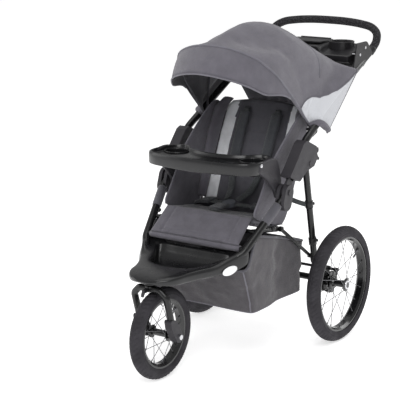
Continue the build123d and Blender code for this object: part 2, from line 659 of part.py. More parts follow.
fb = bow_solid(134, 0.985, 14, 4.4, 7.4)
fb -= near_pivot
eyes = None
for s in (1, -1):
    q = xcyl(s * 205.6, s * 209.4, P, 13)
    arm_ = slab([polar(P, 9, 134 - 90), polar(P, 9, 134 + 90),
                 (polar(P, 9, 134 + 90)[0] + 62 * c134, polar(P, 9, 134 + 90)[1] + 62 * s134),
                 (polar(P, 9, 134 - 90)[0] + 62 * c134, polar(P, 9, 134 - 90)[1] + 62 * s134)], s * 193.5, s * 209.4)
    arm_ -= slab([polar(P, 60, 134 - 110), polar(P, 60, 134 + 110), polar(P, 20, 134 + 60), polar(P, 20, 134 - 60)], s * 190, s * 193.4)
    keep = slab([polar(P, 10, 134 - 90), polar(P, 10, 134 + 90),
                 (polar(P, 10, 134 + 90)[0] + 62 * c134, polar(P, 10, 134 + 90)[1] + 62 * s134),
                 (polar(P, 10, 134 - 90)[0] + 62 * c134, polar(P, 10, 134 - 90)[1] + 62 * s134)], s * 205.6, s * 209.4)
    foot = slab([polar(P, 44, 134 - 12), polar(P, 44, 134 + 12), polar(P, 62, 134 + 9), polar(P, 62, 134 - 9)], s * 197.2, s * 209.4)
    piece = q + keep + foot
    fb += piece
    fb -= xcyl(s * 180, s * 215, P, 4 + RUN)
put("canopy_front_bow", fb)
# middle bow, nested inside the front bow's eyes
mb = bow_solid(96, 0.83, 12, 4.4, 7.4, 0.955)
mb -= near_pivot
c96, s96 = math.cos(math.radians(96)), math.sin(math.radians(96))
for s in (1, -1):
    q = xcyl(s * 192.5, s * 196.5, P, 12)
    keep = slab([polar(P, 9, 96 - 90), polar(P, 9, 96 + 90),
                 (polar(P, 9, 96 + 90)[0] + 60 * c96, polar(P, 9, 96 + 90)[1] + 60 * s96),
                 (polar(P, 9, 96 - 90)[0] + 60 * c96, polar(P, 9, 96 - 90)[1] + 60 * s96)], s * 192.5, s * 196.5)
    foot = slab([polar(P, 44, 96 - 10), polar(P, 44, 96 + 10), polar(P, 60, 96 + 8), polar(P, 60, 96 - 8)], s * 186.5, s * 196.5)
    mb += q + keep + foot
    mb -= xcyl(s * 180, s * 215, P, 4 + RUN)
put("canopy_middle_bow", mb)
# mounts fixed on the inner side of the handle tubes
mounts = []
for s in (1, -1):
    side = "left" if s > 0 else "right"
    m = slab([(-112, 722), (-104, 752), (-84, 766), (-62, 756), (-62, 726), (-92, 714)], s * 209.8, s * 218, 5)
    m += xcyl(s * 190.5, s * 212, P, 4)
    m += xcyl(s * 196.9, s * 205.2, P, 7)
    m -= t_cut[side]
    mounts.append(m.solids().sort_by(lambda q: -q.volume)[0])
put("canopy_mounts", mounts)
rear_sections = [band(110, 0.89, 0.86, 3), band(88, 0.88, 0.80, 3), band(62, 0.88, 0.74, 3)]
rear = loft(rear_sections, ruled=True)
rear -= near_pivot
rear -= xcyl(-230, 230, P, 70)
rear_keep = rear.solids().sort_by(lambda q: -q.volume)[0]
put("canopy_rear_fabric", rear_keep)

# ----------------------------------------------------------------------
# child tray between two arms
# ----------------------------------------------------------------------
tray_half = [(0, -476), (60, -471), (120, -456), (168, -430), (190, -402), (196, -370), (192, -322), (176, -292),
             (150, -286), (124, -304), (100, -332), (56, -350), (0, -356)]
ctray = plan(mirror_plan(tray_half), 640, 680)
CT_CUP = 39.0
for s in (1, -1):
    ctray += cyl((s * 148, -350, 622), (0, 0, 1), CT_CUP + 3, 58)
dish = plan(mirror_plan([(0, -468), (58, -463), (96, -454), (104, -440), (100, -392), (92, -362), (54, -356), (0, -362)]), 664, 700)
ctray -= dish
for s in (1, -1):
    ctray -= cyl((s * 148, -350, 626), (0, 0, 1), CT_CUP, 80)
under = plan(mirror_plan([(0, -470), (58, -465), (96, -456), (96, -400), (90, -366), (54, -356), (0, -362)]), 600, 658)
ctray -= under
for s in (1, -1):
    ctray += xcyl(s * 184, s * 196, T, 10)
    ctray -= xcyl(s * 183, s * 230, T, 4 + RUN)
put("child_tray", ctray.solids().sort_by(lambda q: -q.volume)[0])
arms = []
arm_yz = [(-428, 660), (-424, 690), (-404, 697), (-330, 696), (-304, 682), (-286, 650), (-276, 617), (-270, 575), (-277, 543),
          (-300, 545), (-310, 565), (-345, 602), (-382, 634), (-417, 651)]
for s in (1, -1):
    side = "left" if s > 0 else "right"
    a_ = slab(arm_yz, s * 197.5, s * 211.5, 4)
    a_ -= xcyl(s * 190, s * 230, H, 5)
    a_ += xcyl(s * 185, s * 213, T, 4)
    a_ += xcyl(s * 211, s * 213, T, 6.5)
    arms.append(a_)
put("tray_arms", arms)

print(len(made), "nodes")
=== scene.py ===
import bpy
import bmesh
import math
import numpy as np
from mathutils import Vector, Matrix, noise


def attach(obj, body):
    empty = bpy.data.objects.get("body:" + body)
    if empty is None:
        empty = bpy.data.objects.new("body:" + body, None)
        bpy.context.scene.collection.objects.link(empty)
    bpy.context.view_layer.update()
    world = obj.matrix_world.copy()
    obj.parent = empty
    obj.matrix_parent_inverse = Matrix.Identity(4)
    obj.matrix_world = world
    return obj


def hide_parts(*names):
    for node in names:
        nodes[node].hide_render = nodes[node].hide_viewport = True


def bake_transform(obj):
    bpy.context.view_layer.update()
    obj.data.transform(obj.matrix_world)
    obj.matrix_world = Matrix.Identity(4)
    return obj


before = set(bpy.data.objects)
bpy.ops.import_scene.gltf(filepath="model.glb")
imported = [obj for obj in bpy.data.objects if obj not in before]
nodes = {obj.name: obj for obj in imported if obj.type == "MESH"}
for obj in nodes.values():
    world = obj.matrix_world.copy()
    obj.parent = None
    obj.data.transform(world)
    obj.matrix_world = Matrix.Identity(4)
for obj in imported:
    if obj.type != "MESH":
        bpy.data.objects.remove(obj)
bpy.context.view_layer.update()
FY = 199.0
P = (-87.0, 737.0)


def M(x, y, z):
    """Millimetres in the axle frame to metres in the row frame."""
    return Vector((x * 0.001, (y + FY) * 0.001, z * 0.001))


# ----------------------------------------------------------------------
# camera and light
# ----------------------------------------------------------------------
def make_camera():
    az, el, dist = math.radians(34.5201), math.radians(13.1749), 4.67754
    target = Vector((-0.0907, -0.3 + FY * 0.001, 0.49975))
    back = Vector((math.sin(az) * math.cos(el), -math.cos(az) * math.cos(el), math.sin(el)))
    data = bpy.data.cameras.new("camera")
    data.lens = 126.23
    data.sensor_width = 36.0
    cam = bpy.data.objects.new("camera", data)
    bpy.context.scene.collection.objects.link(cam)
    cam.location = target + back * dist
    cam.rotation_euler = back.to_track_quat("Z", "Y").to_euler()
    bpy.context.scene.camera = cam


def area(name, loc, aim, size, power, color=(1, 1, 1)):
    d = bpy.data.lights.new(name, "AREA")
    d.shape = "RECTANGLE"
    d.size, d.size_y = size
    d.energy = power
    d.color = color
    o = bpy.data.objects.new(name, d)
    bpy.context.scene.collection.objects.link(o)
    o.location = loc
    o.rotation_euler = (Vector(loc) - Vector(aim)).to_track_quat("Z", "Y").to_euler()
    return o


def stage():
    bpy.context.scene.view_settings.view_transform = "Standard"
    w = bpy.data.worlds.new("world")
    bpy.context.scene.world = w
    w.use_nodes = True
    w.node_tree.nodes["Background"].inputs[0].default_value = (1, 1, 1, 1)
    w.node_tree.nodes["Background"].inputs[1].default_value = 0.46
    area("key", (1.6, -2.6, 3.0), (0, 0, 0.5), (2.2, 2.2), 62)
    area("fill", (-2.8, -1.6, 1.6), (0, 0, 0.5), (2.0, 2.0), 22)
    area("top", (0.0, 0.4, 3.2), (0, 0, 0.5), (2.5, 2.5), 26)
    area("rim", (1.5, 2.8, 2.0), (0, 0, 0.5), (1.5, 1.5), 24)
    me = bpy.data.meshes.new("floor")
    s = 30.0
    me.from_pydata([(-s, -s, 0), (s, -s, 0), (s, s, 0), (-s, s, 0)], [], [(0, 1, 2, 3)])
    fl = bpy.data.objects.new("floor", me)
    bpy.context.scene.collection.objects.link(fl)
    m = bpy.data.materials.new("floor")
    m.use_nodes = True
    b = m.node_tree.nodes["Principled BSDF"]
    b.inputs["Base Color"].default_value = (0.93, 0.93, 0.93, 1)
    b.inputs["Roughness"].default_value = 0.9
    b.inputs["Emission Color"].default_value = (1, 1, 1, 1)
    b.inputs["Emission Strength"].default_value = 0.58
    me.materials.append(m)


make_camera()
stage()

# ----------------------------------------------------------------------
# materials
# ----------------------------------------------------------------------
MATS = {}


def base_mat(name, color, rough, metallic=0.0, spec=0.5, coat=0.0, coat_rough=0.1, sheen=0.0):
    m = bpy.data.materials.new(name)
    m.use_nodes = True
    nt = m.node_tree
    b = nt.nodes["Principled BSDF"]
    b.inputs["Base Color"].default_value = (*color, 1)
    b.inputs["Roughness"].default_value = rough
    b.inputs["Metallic"].default_value = metallic
    b.inputs["Specular IOR Level"].default_value = spec
    b.inputs["Coat Weight"].default_value = coat
    b.inputs["Coat Roughness"].default_value = coat_rough
    b.inputs["Sheen Weight"].default_value = sheen
    b.inputs["Sheen Roughness"].default_value = 0.5
    MATS[name] = m
    return m, nt, b


def node(nt, kind, **values):
    n = nt.nodes.new(kind)
    for k, v in values.items():
        if hasattr(n, k):
            setattr(n, k, v)
        else:
            n.inputs[k.replace("_", " ")].default_value = v
    return n


def coords(nt):
    for n in nt.nodes:
        if n.bl_idname == "ShaderNodeTexCoord":
            return n.outputs["Object"]
    return nt.nodes.new("ShaderNodeTexCoord").outputs["Object"]


def vary(nt, b, color, amount=0.18, scale=40.0, detail=4.0):
    """Base colour drifts a little over the surface."""
    n = nt.nodes.new("ShaderNodeTexNoise")
    n.inputs["Scale"].default_value = scale
    n.inputs["Detail"].default_value = detail
    nt.links.new(coords(nt), n.inputs["Vector"])
    r = nt.nodes.new("ShaderNodeValToRGB")
    lo = [max(c * (1 - amount), 0) for c in color]
    hi = [min(c * (1 + amount), 1) for c in color]
    r.color_ramp.elements[0].position = 0.3
    r.color_ramp.elements[1].position = 0.7
    r.color_ramp.elements[0].color = (*lo, 1)
    r.color_ramp.elements[1].color = (*hi, 1)
    nt.links.new(n.outputs["Fac"], r.inputs["Fac"])
    nt.links.new(r.outputs["Color"], b.inputs["Base Color"])
    return r


def rough_noise(nt, b, lo, hi, scale=60.0):
    n = nt.nodes.new("ShaderNodeTexNoise")
    n.inputs["Scale"].default_value = scale
    n.inputs["Detail"].default_value = 3.0
    nt.links.new(coords(nt), n.inputs["Vector"])
    r = nt.nodes.new("ShaderNodeMapRange")
    r.inputs["From Min"].default_value = 0.3
    r.inputs["From Max"].default_value = 0.7
    r.inputs["To Min"].default_value = lo
    r.inputs["To Max"].default_value = hi
    nt.links.new(n.outputs["Fac"], r.inputs["Value"])
    nt.links.new(r.outputs["Result"], b.inputs["Roughness"])


def bump(nt, b, height, strength, distance, chain=None):
    n = nt.nodes.new("ShaderNodeBump")
    n.inputs["Strength"].default_value = strength
    n.inputs["Distance"].default_value = distance
    nt.links.new(height, n.inputs["Height"])
    if chain is not None:
        nt.links.new(chain, n.inputs["Normal"])
    nt.links.new(n.outputs["Normal"], b.inputs["Normal"])
    return n.outputs["Normal"]


def weave(nt, b, pitch, strength):
    """Plain weave from two crossed waves; the yarns bulge."""
    c = coords(nt)
    sep = nt.nodes.new("ShaderNodeSeparateXYZ")
    nt.links.new(c, sep.inputs[0])

    def wave(expr_a, expr_b=None):
        src = expr_a
        if expr_b is not None:
            add = nt.nodes.new("ShaderNodeMath")
            add.operation = "ADD"
            nt.links.new(expr_a, add.inputs[0])
            nt.links.new(expr_b, add.inputs[1])
            src = add.outputs[0]
        mul = nt.nodes.new("ShaderNodeMath")
        mul.operation = "MULTIPLY"
        mul.inputs[1].default_value = 2 * math.pi / pitch
        nt.links.new(src, mul.inputs[0])
        s = nt.nodes.new("ShaderNodeMath")
        s.operation = "SINE"
        nt.links.new(mul.outputs[0], s.inputs[0])
        return s.outputs[0]

    a = wave(sep.outputs[0])
    d = wave(sep.outputs[1], sep.outputs[2])
    prod = nt.nodes.new("ShaderNodeMath")
    prod.operation = "MULTIPLY"
    nt.links.new(a, prod.inputs[0])
    nt.links.new(d, prod.inputs[1])
    return bump(nt, b, prod.outputs[0], strength, pitch * 0.35)


def fabric(name, color, pitch=0.0011, strength=0.35, wrinkle=0.25, sheen=0.25, amount=0.10):
    m, nt, b = base_mat(name, color, 0.85, spec=0.25, sheen=sheen)
    vary(nt, b, color, amount, 30.0, 6.0)
    rough_noise(nt, b, 0.72, 0.92, 90.0)
    chain = weave(nt, b, pitch, strength)
    if wrinkle:
        n = nt.nodes.new("ShaderNodeTexNoise")
        n.inputs["Scale"].default_value = 16.0
        n.inputs["Detail"].default_value = 5.0
        n.inputs["Roughness"].default_value = 0.55
        nt.links.new(coords(nt), n.inputs["Vector"])
        bump(nt, b, n.outputs["Fac"], wrinkle, 0.006, chain)
    return m


def plastic(name, color, rough, grain=0.15, scale=900.0, coat=0.0, coat_rough=0.15, amount=0.06):
    m, nt, b = base_mat(name, color, rough, spec=0.32, coat=coat, coat_rough=coat_rough)
    vary(nt, b, color, amount, 25.0, 3.0)
    rough_noise(nt, b, rough * 0.85, min(rough * 1.15, 1.0), 35.0)
    n = nt.nodes.new("ShaderNodeTexNoise")
    n.inputs["Scale"].default_value = scale
    n.inputs["Detail"].default_value = 2.0
    nt.links.new(coords(nt), n.inputs["Vector"])
    bump(nt, b, n.outputs["Fac"], grain, 0.0006)
    return m


def rubber(name, color):
    m, nt, b = base_mat(name, color, 0.75, spec=0.2)
    vary(nt, b, color, 0.25, 18.0, 5.0)
    rough_noise(nt, b, 0.6, 0.85, 45.0)
    n = nt.nodes.new("ShaderNodeTexNoise")
    n.inputs["Scale"].default_value = 500.0
    nt.links.new(coords(nt), n.inputs["Vector"])
    bump(nt, b, n.outputs["Fac"], 0.2, 0.0008)
    return m


def foam(name, color):
    m, nt, b = base_mat(name, color, 0.9, spec=0.2)
    v = nt.nodes.new("ShaderNodeTexVoronoi")
    v.inputs["Scale"].default_value = 190.0
    nt.links.new(coords(nt), v.inputs["Vector"])
    r = nt.nodes.new("ShaderNodeValToRGB")
    r.color_ramp.elements[0].position = 0.15
    r.color_ramp.elements[1].position = 0.6
    r.color_ramp.elements[0].color = (*[c * 1.9 for c in color], 1)
    r.color_ramp.elements[1].color = (*[c * 0.6 for c in color], 1)
    nt.links.new(v.outputs["Distance"], r.inputs["Fac"])
    nt.links.new(r.outputs["Color"], b.inputs["Base Color"])
    bump(nt, b, v.outputs["Distance"], 0.8, 0.0022)
    return m


def mesh_cloth(name, color):
    """Open knit: a fine grid of small dark holes."""
    m, nt, b = base_mat(name, color, 0.8, spec=0.25, sheen=0.2)
    v = nt.nodes.new("ShaderNodeTexVoronoi")
    v.inputs["Scale"].default_value = 420.0
    v.inputs["Randomness"].default_value = 0.12
    nt.links.new(coords(nt), v.inputs["Vector"])
    r = nt.nodes.new("ShaderNodeValToRGB")
    r.color_ramp.elements[0].position = 0.12
    r.color_ramp.elements[1].position = 0.42
    r.color_ramp.elements[0].color = (*[c * 0.55 for c in color], 1)
    r.color_ramp.elements[1].color = (*color, 1)
    nt.links.new(v.outputs["Distance"], r.inputs["Fac"])
    nt.links.new(r.outputs["Color"], b.inputs["Base Color"])
    bump(nt, b, v.outputs["Distance"], 0.4, 0.0007)
    return m


GREY = (0.118, 0.112, 0.132)
# DARK_PAINTED_SHADE: the seat's cloth is only a little darker than GREY; the rest of this darkness is painted shade
# from the canopy
DARK_PAINTED_SHADE = (0.088, 0.086, 0.100)
fabric("fabric_grey", GREY)
# fabric_dark: the slightly darker grey cloth with painted shade on top, used on the seat, backrest, sling, hem and
# sleeves
fabric("fabric_dark", DARK_PAINTED_SHADE)
fabric("fabric_lining", (0.055, 0.053, 0.062))
fabric("fabric_basket", (0.068, 0.063, 0.070), pitch=0.0014, wrinkle=0.6)
fabric("stripe_light", (0.80, 0.81, 0.84), pitch=0.0012, wrinkle=0.15)
fabric("piping", (0.15, 0.145, 0.17), wrinkle=0.0)
fabric("webbing", (0.06, 0.066, 0.07), pitch=0.0024, strength=0.7, wrinkle=0.0)
fabric("pad_teal", (0.062, 0.066, 0.074), pitch=0.0016, strength=0.5, wrinkle=0.3)
mesh_cloth("mesh_light", (0.58, 0.59, 0.62))
plastic("black_plastic", (0.016, 0.0155, 0.017), 0.36, 0.2)
plastic("gloss_black", (0.009, 0.009, 0.010), 0.30, 0.03, coat=0.3, coat_rough=0.2)
plastic("grey_plastic", (0.034, 0.032, 0.037), 0.48, 0.3)
plastic("white_plastic", (0.86, 0.87, 0.88), 0.25, 0.03)
plastic("buckle_grey", (0.15, 0.16, 0.18), 0.42, 0.15)
rubber("tyre", (0.034, 0.032, 0.037))
foam("foam", (0.030, 0.029, 0.032))
m, nt, b = base_mat("black_tube", (0.007, 0.007, 0.0075), 0.30, spec=0.35, coat=0.15, coat_rough=0.22)
vary(nt, b, (0.005, 0.005, 0.0055), 0.15, 30.0)
rough_noise(nt, b, 0.24, 0.36, 40.0)
m, nt, b = base_mat("rim_black", (0.004, 0.004, 0.0045), 0.22, metallic=0.2, coat=0.5, coat_rough=0.12)
vary(nt, b, (0.004, 0.004, 0.0045), 0.2, 25.0)
rough_noise(nt, b, 0.16, 0.30, 30.0)
m, nt, b = base_mat("steel", (0.62, 0.62, 0.64), 0.25, metallic=1.0)
rough_noise(nt, b, 0.18, 0.34, 120.0)
m, nt, b = base_mat("spoke", (0.16, 0.16, 0.17), 0.3, metallic=0.8)
rough_noise(nt, b, 0.24, 0.4, 200.0)


def use(obj, *names):
    obj.data.materials.clear()
    for n in names:
        obj.data.materials.append(MATS[n])
    return obj


NODE_MAT = {
    "front_tube_left": "black_tube", "front_tube_right": "black_tube", "footrest_shell": "gloss_black",
    "shell_reflectors": "white_plastic", "steering_head": "black_tube", "fold_housings_lower": "grey_plastic",
    "fold_bolts": "grey_plastic", "seat_frame": "black_tube", "seat_pad": "fabric_dark", "calf_pad": "fabric_grey",
    "seat_side_panels": "fabric_grey", "basket": "fabric_basket", "buckle": "buckle_grey", "lap_straps": "pad_teal",
    "tray_arms": "grey_plastic", "swivel_lock": "grey_plastic", "fork": "black_tube", "fork_boots": "grey_plastic",
    "front_axle": "steel", "wheel_release_tab": "grey_plastic", "front_tyre": "tyre", "front_rim": "rim_black",
    "front_hub": "rim_black", "front_spokes": "spoke", "handle_tube_left": "black_tube", "handle_tube_right": "black_tube",
    "handle_loop": "black_tube", "handle_grip": "foam", "parent_tray": "black_plastic", "handle_plates": "black_plastic",
    "plate_rivets": "steel", "fold_housings_upper": "grey_plastic", "canopy_mounts": "black_plastic",
    "canopy_middle_bow": "black_plastic", "canopy_rear_fabric": "fabric_grey", "parent_tray_lid": "black_plastic",
    "fold_lever_left": "black_plastic", "fold_lever_right": "black_plastic", "canopy_front_fabric": "fabric_grey",
    "canopy_front_bow": "black_plastic", "rear_leg_left": "black_tube", "rear_leg_right": "black_tube",
    "rear_crossbar": "black_tube", "rear_axles": "steel", "axle_housings": "black_plastic", "brake_bar": "black_plastic",
    "rear_tyre_left": "tyre", "rear_rim_left": "rim_black", "rear_hub_left": "rim_black", "rear_spokes_left": "spoke",
    "rear_tyre_right": "tyre", "rear_rim_right": "rim_black", "rear_hub_right": "rim_black", "rear_spokes_right": "spoke",
    "fold_links": "black_tube", "child_tray": "gloss_black", "backrest_pad": "fabric_dark", "backrest_board": "fabric_dark",
    "shoulder_straps": "webbing", "buckle_button": "buckle_grey",
}
for n_, o_ in nodes.items():
    mat = MATS[NODE_MAT[n_]]
    if not o_.material_slots:
        o_.data.materials.append(mat)
    for s_ in o_.material_slots:
        s_.material = mat


# ----------------------------------------------------------------------
# mesh helpers
# ----------------------------------------------------------------------
def finish_mesh(name, verts, faces, mats, mat_index=None, smooth=True, level=0, merge=0.0):
    me = bpy.data.meshes.new(name)
    me.from_pydata([tuple(v) for v in verts], [], faces)
    me.validate()
    ob = bpy.data.objects.new(name, me)
    bpy.context.scene.collection.objects.link(ob)
    for n in mats:
        me.materials.append(MATS[n])
    if mat_index is not None:
        for p, i in zip(me.polygons, mat_index):
            p.material_index = i
    bm = bmesh.new()
    bm.from_mesh(me)
    if merge:
        bmesh.ops.remove_doubles(bm, verts=bm.verts, dist=merge)
    bmesh.ops.recalc_face_normals(bm, faces=bm.faces)
    for f in bm.faces:
        f.smooth = smooth
    bm.to_mesh(me)
    bm.free()
    if level:
        s = ob.modifiers.new("sub", "SUBSURF")
        s.levels = level
        s.render_levels = level
    return ob


def loft(name, loops, mats, cap_a=True, cap_b=True, index=None, level=0, smooth=True, closed=True, merge=0.0):
    """Closed loops of equal length joined into a skin."""
    n = len(loops[0])
    verts = [v for lp in loops for v in lp]
    faces, mi = [], []
    for i in range(len(loops) - 1):
        for j in range(n if closed else n - 1):
            k = (j + 1) % n
            faces.append((i * n + j, i * n + k, (i + 1) * n + k, (i + 1) * n + j))
            mi.append(index(i, j) if index else 0)

    def cap(row, first):
        c = sum((Vector(v) for v in loops[row]), Vector()) / n
        verts.append(c)
        ci = len(verts) - 1
        for j in range(n):
            k = (j + 1) % n
            f = (row * n + j, row * n + k, ci)
            faces.append(f if first else f[::-1])
            mi.append(index(row if first else row - 1, j) if index else 0)
    if cap_a:
        cap(0, True)
    if cap_b:
        cap(len(loops) - 1, False)
    return finish_mesh(name, verts, faces, mats, mi, smooth, level, merge)


def catmull(pts, n, closed=False):
    """Points along a Catmull-Rom curve, evenly spaced by length."""
    p = [np.array(q, float) for q in pts]
    m = len(p)
    out = []
    segs = m if closed else m - 1
    for i in range(segs):
        if closed:
            a, b_, c, d = p[(i - 1) % m], p[i], p[(i + 1) % m], p[(i + 2) % m]
        else:
            b_, c = p[i], p[i + 1]
            a = p[i - 1] if i else 2 * b_ - c
            d = p[i + 2] if i + 2 < m else 2 * c - b_
        t1 = max(np.linalg.norm(b_ - a), 1e-9) ** 0.5
        t2 = t1 + max(np.linalg.norm(c - b_), 1e-9) ** 0.5
        t3 = t2 + max(np.linalg.norm(d - c), 1e-9) ** 0.5
        for k in range(16):
            t = t1 + (t2 - t1) * k / 16
            A1 = (t1 - t) / t1 * a + t / t1 * b_
            A2 = (t2 - t) / (t2 - t1) * b_ + (t - t1) / (t2 - t1) * c
            A3 = (t3 - t) / (t3 - t2) * c + (t - t2) / (t3 - t2) * d
            B1 = (t2 - t) / t2 * A1 + t / t2 * A2
            B2 = (t3 - t) / (t3 - t1) * A2 + (t - t1) / (t3 - t1) * A3
            out.append((t2 - t) / (t2 - t1) * B1 + (t - t1) / (t2 - t1) * B2)
    out.append(p[0] if closed else p[-1])
    out = np.array(out)
    L = np.r_[0, np.cumsum(np.linalg.norm(np.diff(out, axis=0), axis=1))]
    s = np.linspace(0, L[-1], n + 1)[:-1] if closed else np.linspace(0, L[-1], n)
    return np.stack([np.interp(s, L, out[:, k]) for k in range(out.shape[1])], 1)


def offset2(loop, d):
    """Moves a closed 2-D loop inwards by d (counter-clockwise or not), along averaged normals."""
    a = np.roll(loop, 1, 0)
    b_ = np.roll(loop, -1, 0)
    t = b_ - a
    t /= np.linalg.norm(t, axis=1)[:, None]
    n = np.stack([-t[:, 1], t[:, 0]], 1)
    area2 = np.sum(loop[:, 0] * b_[:, 1] - b_[:, 0] * loop[:, 1])
    if area2 < 0:
        n = -n
    return loop + n * d


def tube_mesh(name, pts, r, mat, seg=16, level=0, caps=True, flat=1.0, up=None, n=None, profile=None):
    """A smooth tube along points in row-frame metres; r in metres or one per point."""
    pts = [Vector(p) for p in pts]
    if n:
        q = catmull([tuple(p) for p in pts], n)
        pts = [Vector(p) for p in q]
    rr = r if isinstance(r, (list, tuple, np.ndarray)) else [r] * len(pts)
    if len(rr) != len(pts):
        rr = list(np.interp(np.linspace(0, 1, len(pts)), np.linspace(0, 1, len(rr)), rr))
    loops = []
    prev = None
    for i, p in enumerate(pts):
        t = (pts[min(i + 1, len(pts) - 1)] - pts[max(i - 1, 0)]).normalized()
        if prev is None:
            ref = Vector(up) if up else (Vector((0, 0, 1)) if abs(t.z) < 0.9 else Vector((1, 0, 0)))
            u = (ref - t * ref.dot(t)).normalized()
        else:
            u = (prev - t * prev.dot(t)).normalized()
        prev = u
        v = t.cross(u)
        lp = []
        for k in range(seg):
            a = 2 * math.pi * k / seg
            lp.append(p + u * math.cos(a) * rr[i] * flat + v * math.sin(a) * rr[i])
        loops.append(lp)
    return loft(name, loops, [mat], caps, caps, level=level)


def ribbon(name, pts, width, thick, mat, normal, n=24, edge=0.0, mat2=None):
    """Flat webbing along points; width in metres across, normal gives its face."""
    q = catmull([tuple(p) for p in pts], n)
    q = [Vector(p) for p in q]
    loops = []
    for i, p in enumerate(q):
        t = (q[min(i + 1, len(q) - 1)] - q[max(i - 1, 0)]).normalized()
        nn = Vector(normal(i / (len(q) - 1)) if callable(normal) else normal)
        nn = (nn - t * nn.dot(t)).normalized()
        w = t.cross(nn).normalized()
        hw = (width(i / (len(q) - 1)) if callable(width) else width) / 2
        h = thick / 2
        prof = [(-hw, -h * 0.5), (-hw * 0.96, h), (-hw * 0.5, h * 1.1), (0, h * 1.15), (hw * 0.5, h * 1.1), (hw * 0.96, h),
                (hw, -h * 0.5), (hw * 0.96, -h), (0, -h), (-hw * 0.96, -h)]
        loops.append([p + w * a + nn * c for a, c in prof])
    return loft(name, loops, [mat])


def fbm(v, scale, seed=0.0, octaves=3):
    return noise.fractal(Vector(v) * scale + Vector((seed, seed * 1.7, -seed)), 1.0, 2.0, octaves)


def bevel_node(name, width, segs=2, angle=35):
    o = nodes[name]
    b_ = o.modifiers.new("bevel", "BEVEL")
    b_.width = width
    b_.segments = segs
    b_.limit_method = "ANGLE"
    b_.angle_limit = math.radians(angle)
    b_.harden_normals = False
    return o


def both(make):
    """Runs make(side name, sign) for the left (+X) and the right (-X)."""
    return [make("left", 1), make("right", -1)]


# ----------------------------------------------------------------------
# tyres with a chevron tread
# ----------------------------------------------------------------------
def make_tyre(name, node_name, body, cx, cy, cz, R, sec, flange, pitches):
    c = R - sec
    seg = pitches * 6
    prof = []
    a_end = math.degrees(math.asin((flange - c) / sec))       # below the horizontal
    angles = np.linspace(a_end, 180 - a_end, 45)
    loops = []
    for i in range(seg):
        th = 2 * math.pi * i / seg
        lp = []
        for a in angles:
            ar = math.radians(a)
            x, rad = sec * math.cos(ar), sec * math.sin(ar)
            lat = (a - 90.0) / 90.0
            d = 0.0
            if abs(lat) < 0.62:
                # chevron grooves across the tread, a full groove down the middle, shallower near the shoulders
                ph = (i / 6.0 + abs(lat) * 1.5) % 1.0
                groove = 1.0 if ph < 0.30 else 0.0
                if abs(lat) > 0.56:
                    groove *= 0.4
                if abs(lat) < 0.05:
                    groove = 1.0
                d = -1.7 * groove
            elif abs(lat) < 0.72:
                d = 0.0 if (i % 3) else -0.8
            elif 0.80 < abs(lat) < 0.84 or 0.97 < abs(lat) < 1.0:
                d = 0.9
            elif 0.86 < abs(lat) < 0.94:
                d = -0.5
            rr = sec + d
            x, rad = rr * math.cos(ar), c + rr * math.sin(ar)
            lp.append((x, rad))
        # inside of the carcass
        for a in angles[::-4]:
            ar = math.radians(a)
            lp.append(((sec - 3.2) * math.cos(ar), max(c + (sec - 3.2) * math.sin(ar), flange + 0.2)))
        loops.append([Vector(((x + cx) * 0.001, (cy + FY + r * math.cos(th)) * 0.001, (cz + r * math.sin(th)) * 0.001)) for x, r in lp])
    loops.append(loops[0])
    ob = loft(name, loops, ["tyre"], False, False, merge=0.00001)
    for p in ob.data.polygons:
        p.use_smooth = True
    e = ob.modifiers.new("edges", "EDGE_SPLIT")
    e.split_angle = math.radians(50)
    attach(ob, body)
    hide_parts(node_name)
    return ob


make_tyre("tyre_front", "front_tyre", "front_wheel", 0, -651, 149, 149, 22.5, 112, 54)
make_tyre("tyre_rear_left", "rear_tyre_left", "rear_wheel_left", 280, 0, 199, 199, 23.5, 163, 72)
make_tyre("tyre_rear_right", "rear_tyre_right", "rear_wheel_right", -280, 0, 199, 199, 23.5, 163, 72)


def rim_details(tag, body, cx, cy, cz, r_in, half, n=20):
    """Nipples where the spokes meet the rim, and a valve stem."""
    vs, fs = [], []
    for i in range(n):
        a = 2 * math.pi * i / n
        side = 1 if i % 2 else -1
        base = Vector((side * 4.0, math.cos(a) * r_in, math.sin(a) * r_in))
        d = Vector((side * 21, math.cos(a) * -(r_in - 20), math.sin(a) * -(r_in - 20))).normalized()
        u = d.cross(Vector((0.3, 0.5, 0.8))).normalized()
        v = d.cross(u)
        for (l, r) in ((-0.5, 2.1), (7.0, 2.1), (9.0, 1.3), (9.2, 0.2)):
            for k in range(8):
                t = 2 * math.pi * k / 8
                vs.append(base + d * l + u * math.cos(t) * r + v * math.sin(t) * r)
        o0 = i * 32
        for q in range(3):
            for k in range(8):
                k2 = (k + 1) % 8
                fs.append((o0 + q * 8 + k, o0 + q * 8 + k2, o0 + q * 8 + 8 + k2, o0 + q * 8 + 8 + k))
    # valve
    a = math.radians(9 + 27)
    base = Vector((0, math.cos(a) * (r_in + 1), math.sin(a) * (r_in + 1)))
    d = -Vector((0, math.cos(a), math.sin(a)))
    u = Vector((1, 0, 0))
    v = d.cross(u)
    o0 = len(vs)
    for (l, r) in ((0, 4.2), (3, 4.0), (4, 2.6), (24, 2.6), (25, 3.4), (33, 3.2), (34, 0.4)):
        for k in range(12):
            t = 2 * math.pi * k / 12
            vs.append(base + d * l + u * math.cos(t) * r + v * math.sin(t) * r)
    for q in range(6):
        for k in range(12):
            k2 = (k + 1) % 12
            fs.append((o0 + q * 12 + k, o0 + q * 12 + k2, o0 + q * 12 + 12 + k2, o0 + q * 12 + 12 + k))
    ob = finish_mesh("nipples_" + tag, [M(p.x + cx, p.y + cy, p.z + cz) for p in vs], fs, ["spoke"])
    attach(ob, body)


rim_details("front", "front_wheel", 0, -651, 149, 98, 17)
rim_details("rear_left", "rear_wheel_left", 280, 0, 199, 151, 18)
rim_details("rear_right", "rear_wheel_right", -280, 0, 199, 151, 18)

# ----------------------------------------------------------------------
# footrest shell
# ----------------------------------------------------------------------
def full(half):
    """Half outline (x >= 0), front to back, to a closed loop."""
    return list(half) + [(-x, y) for x, y in reversed(half) if x > 0]


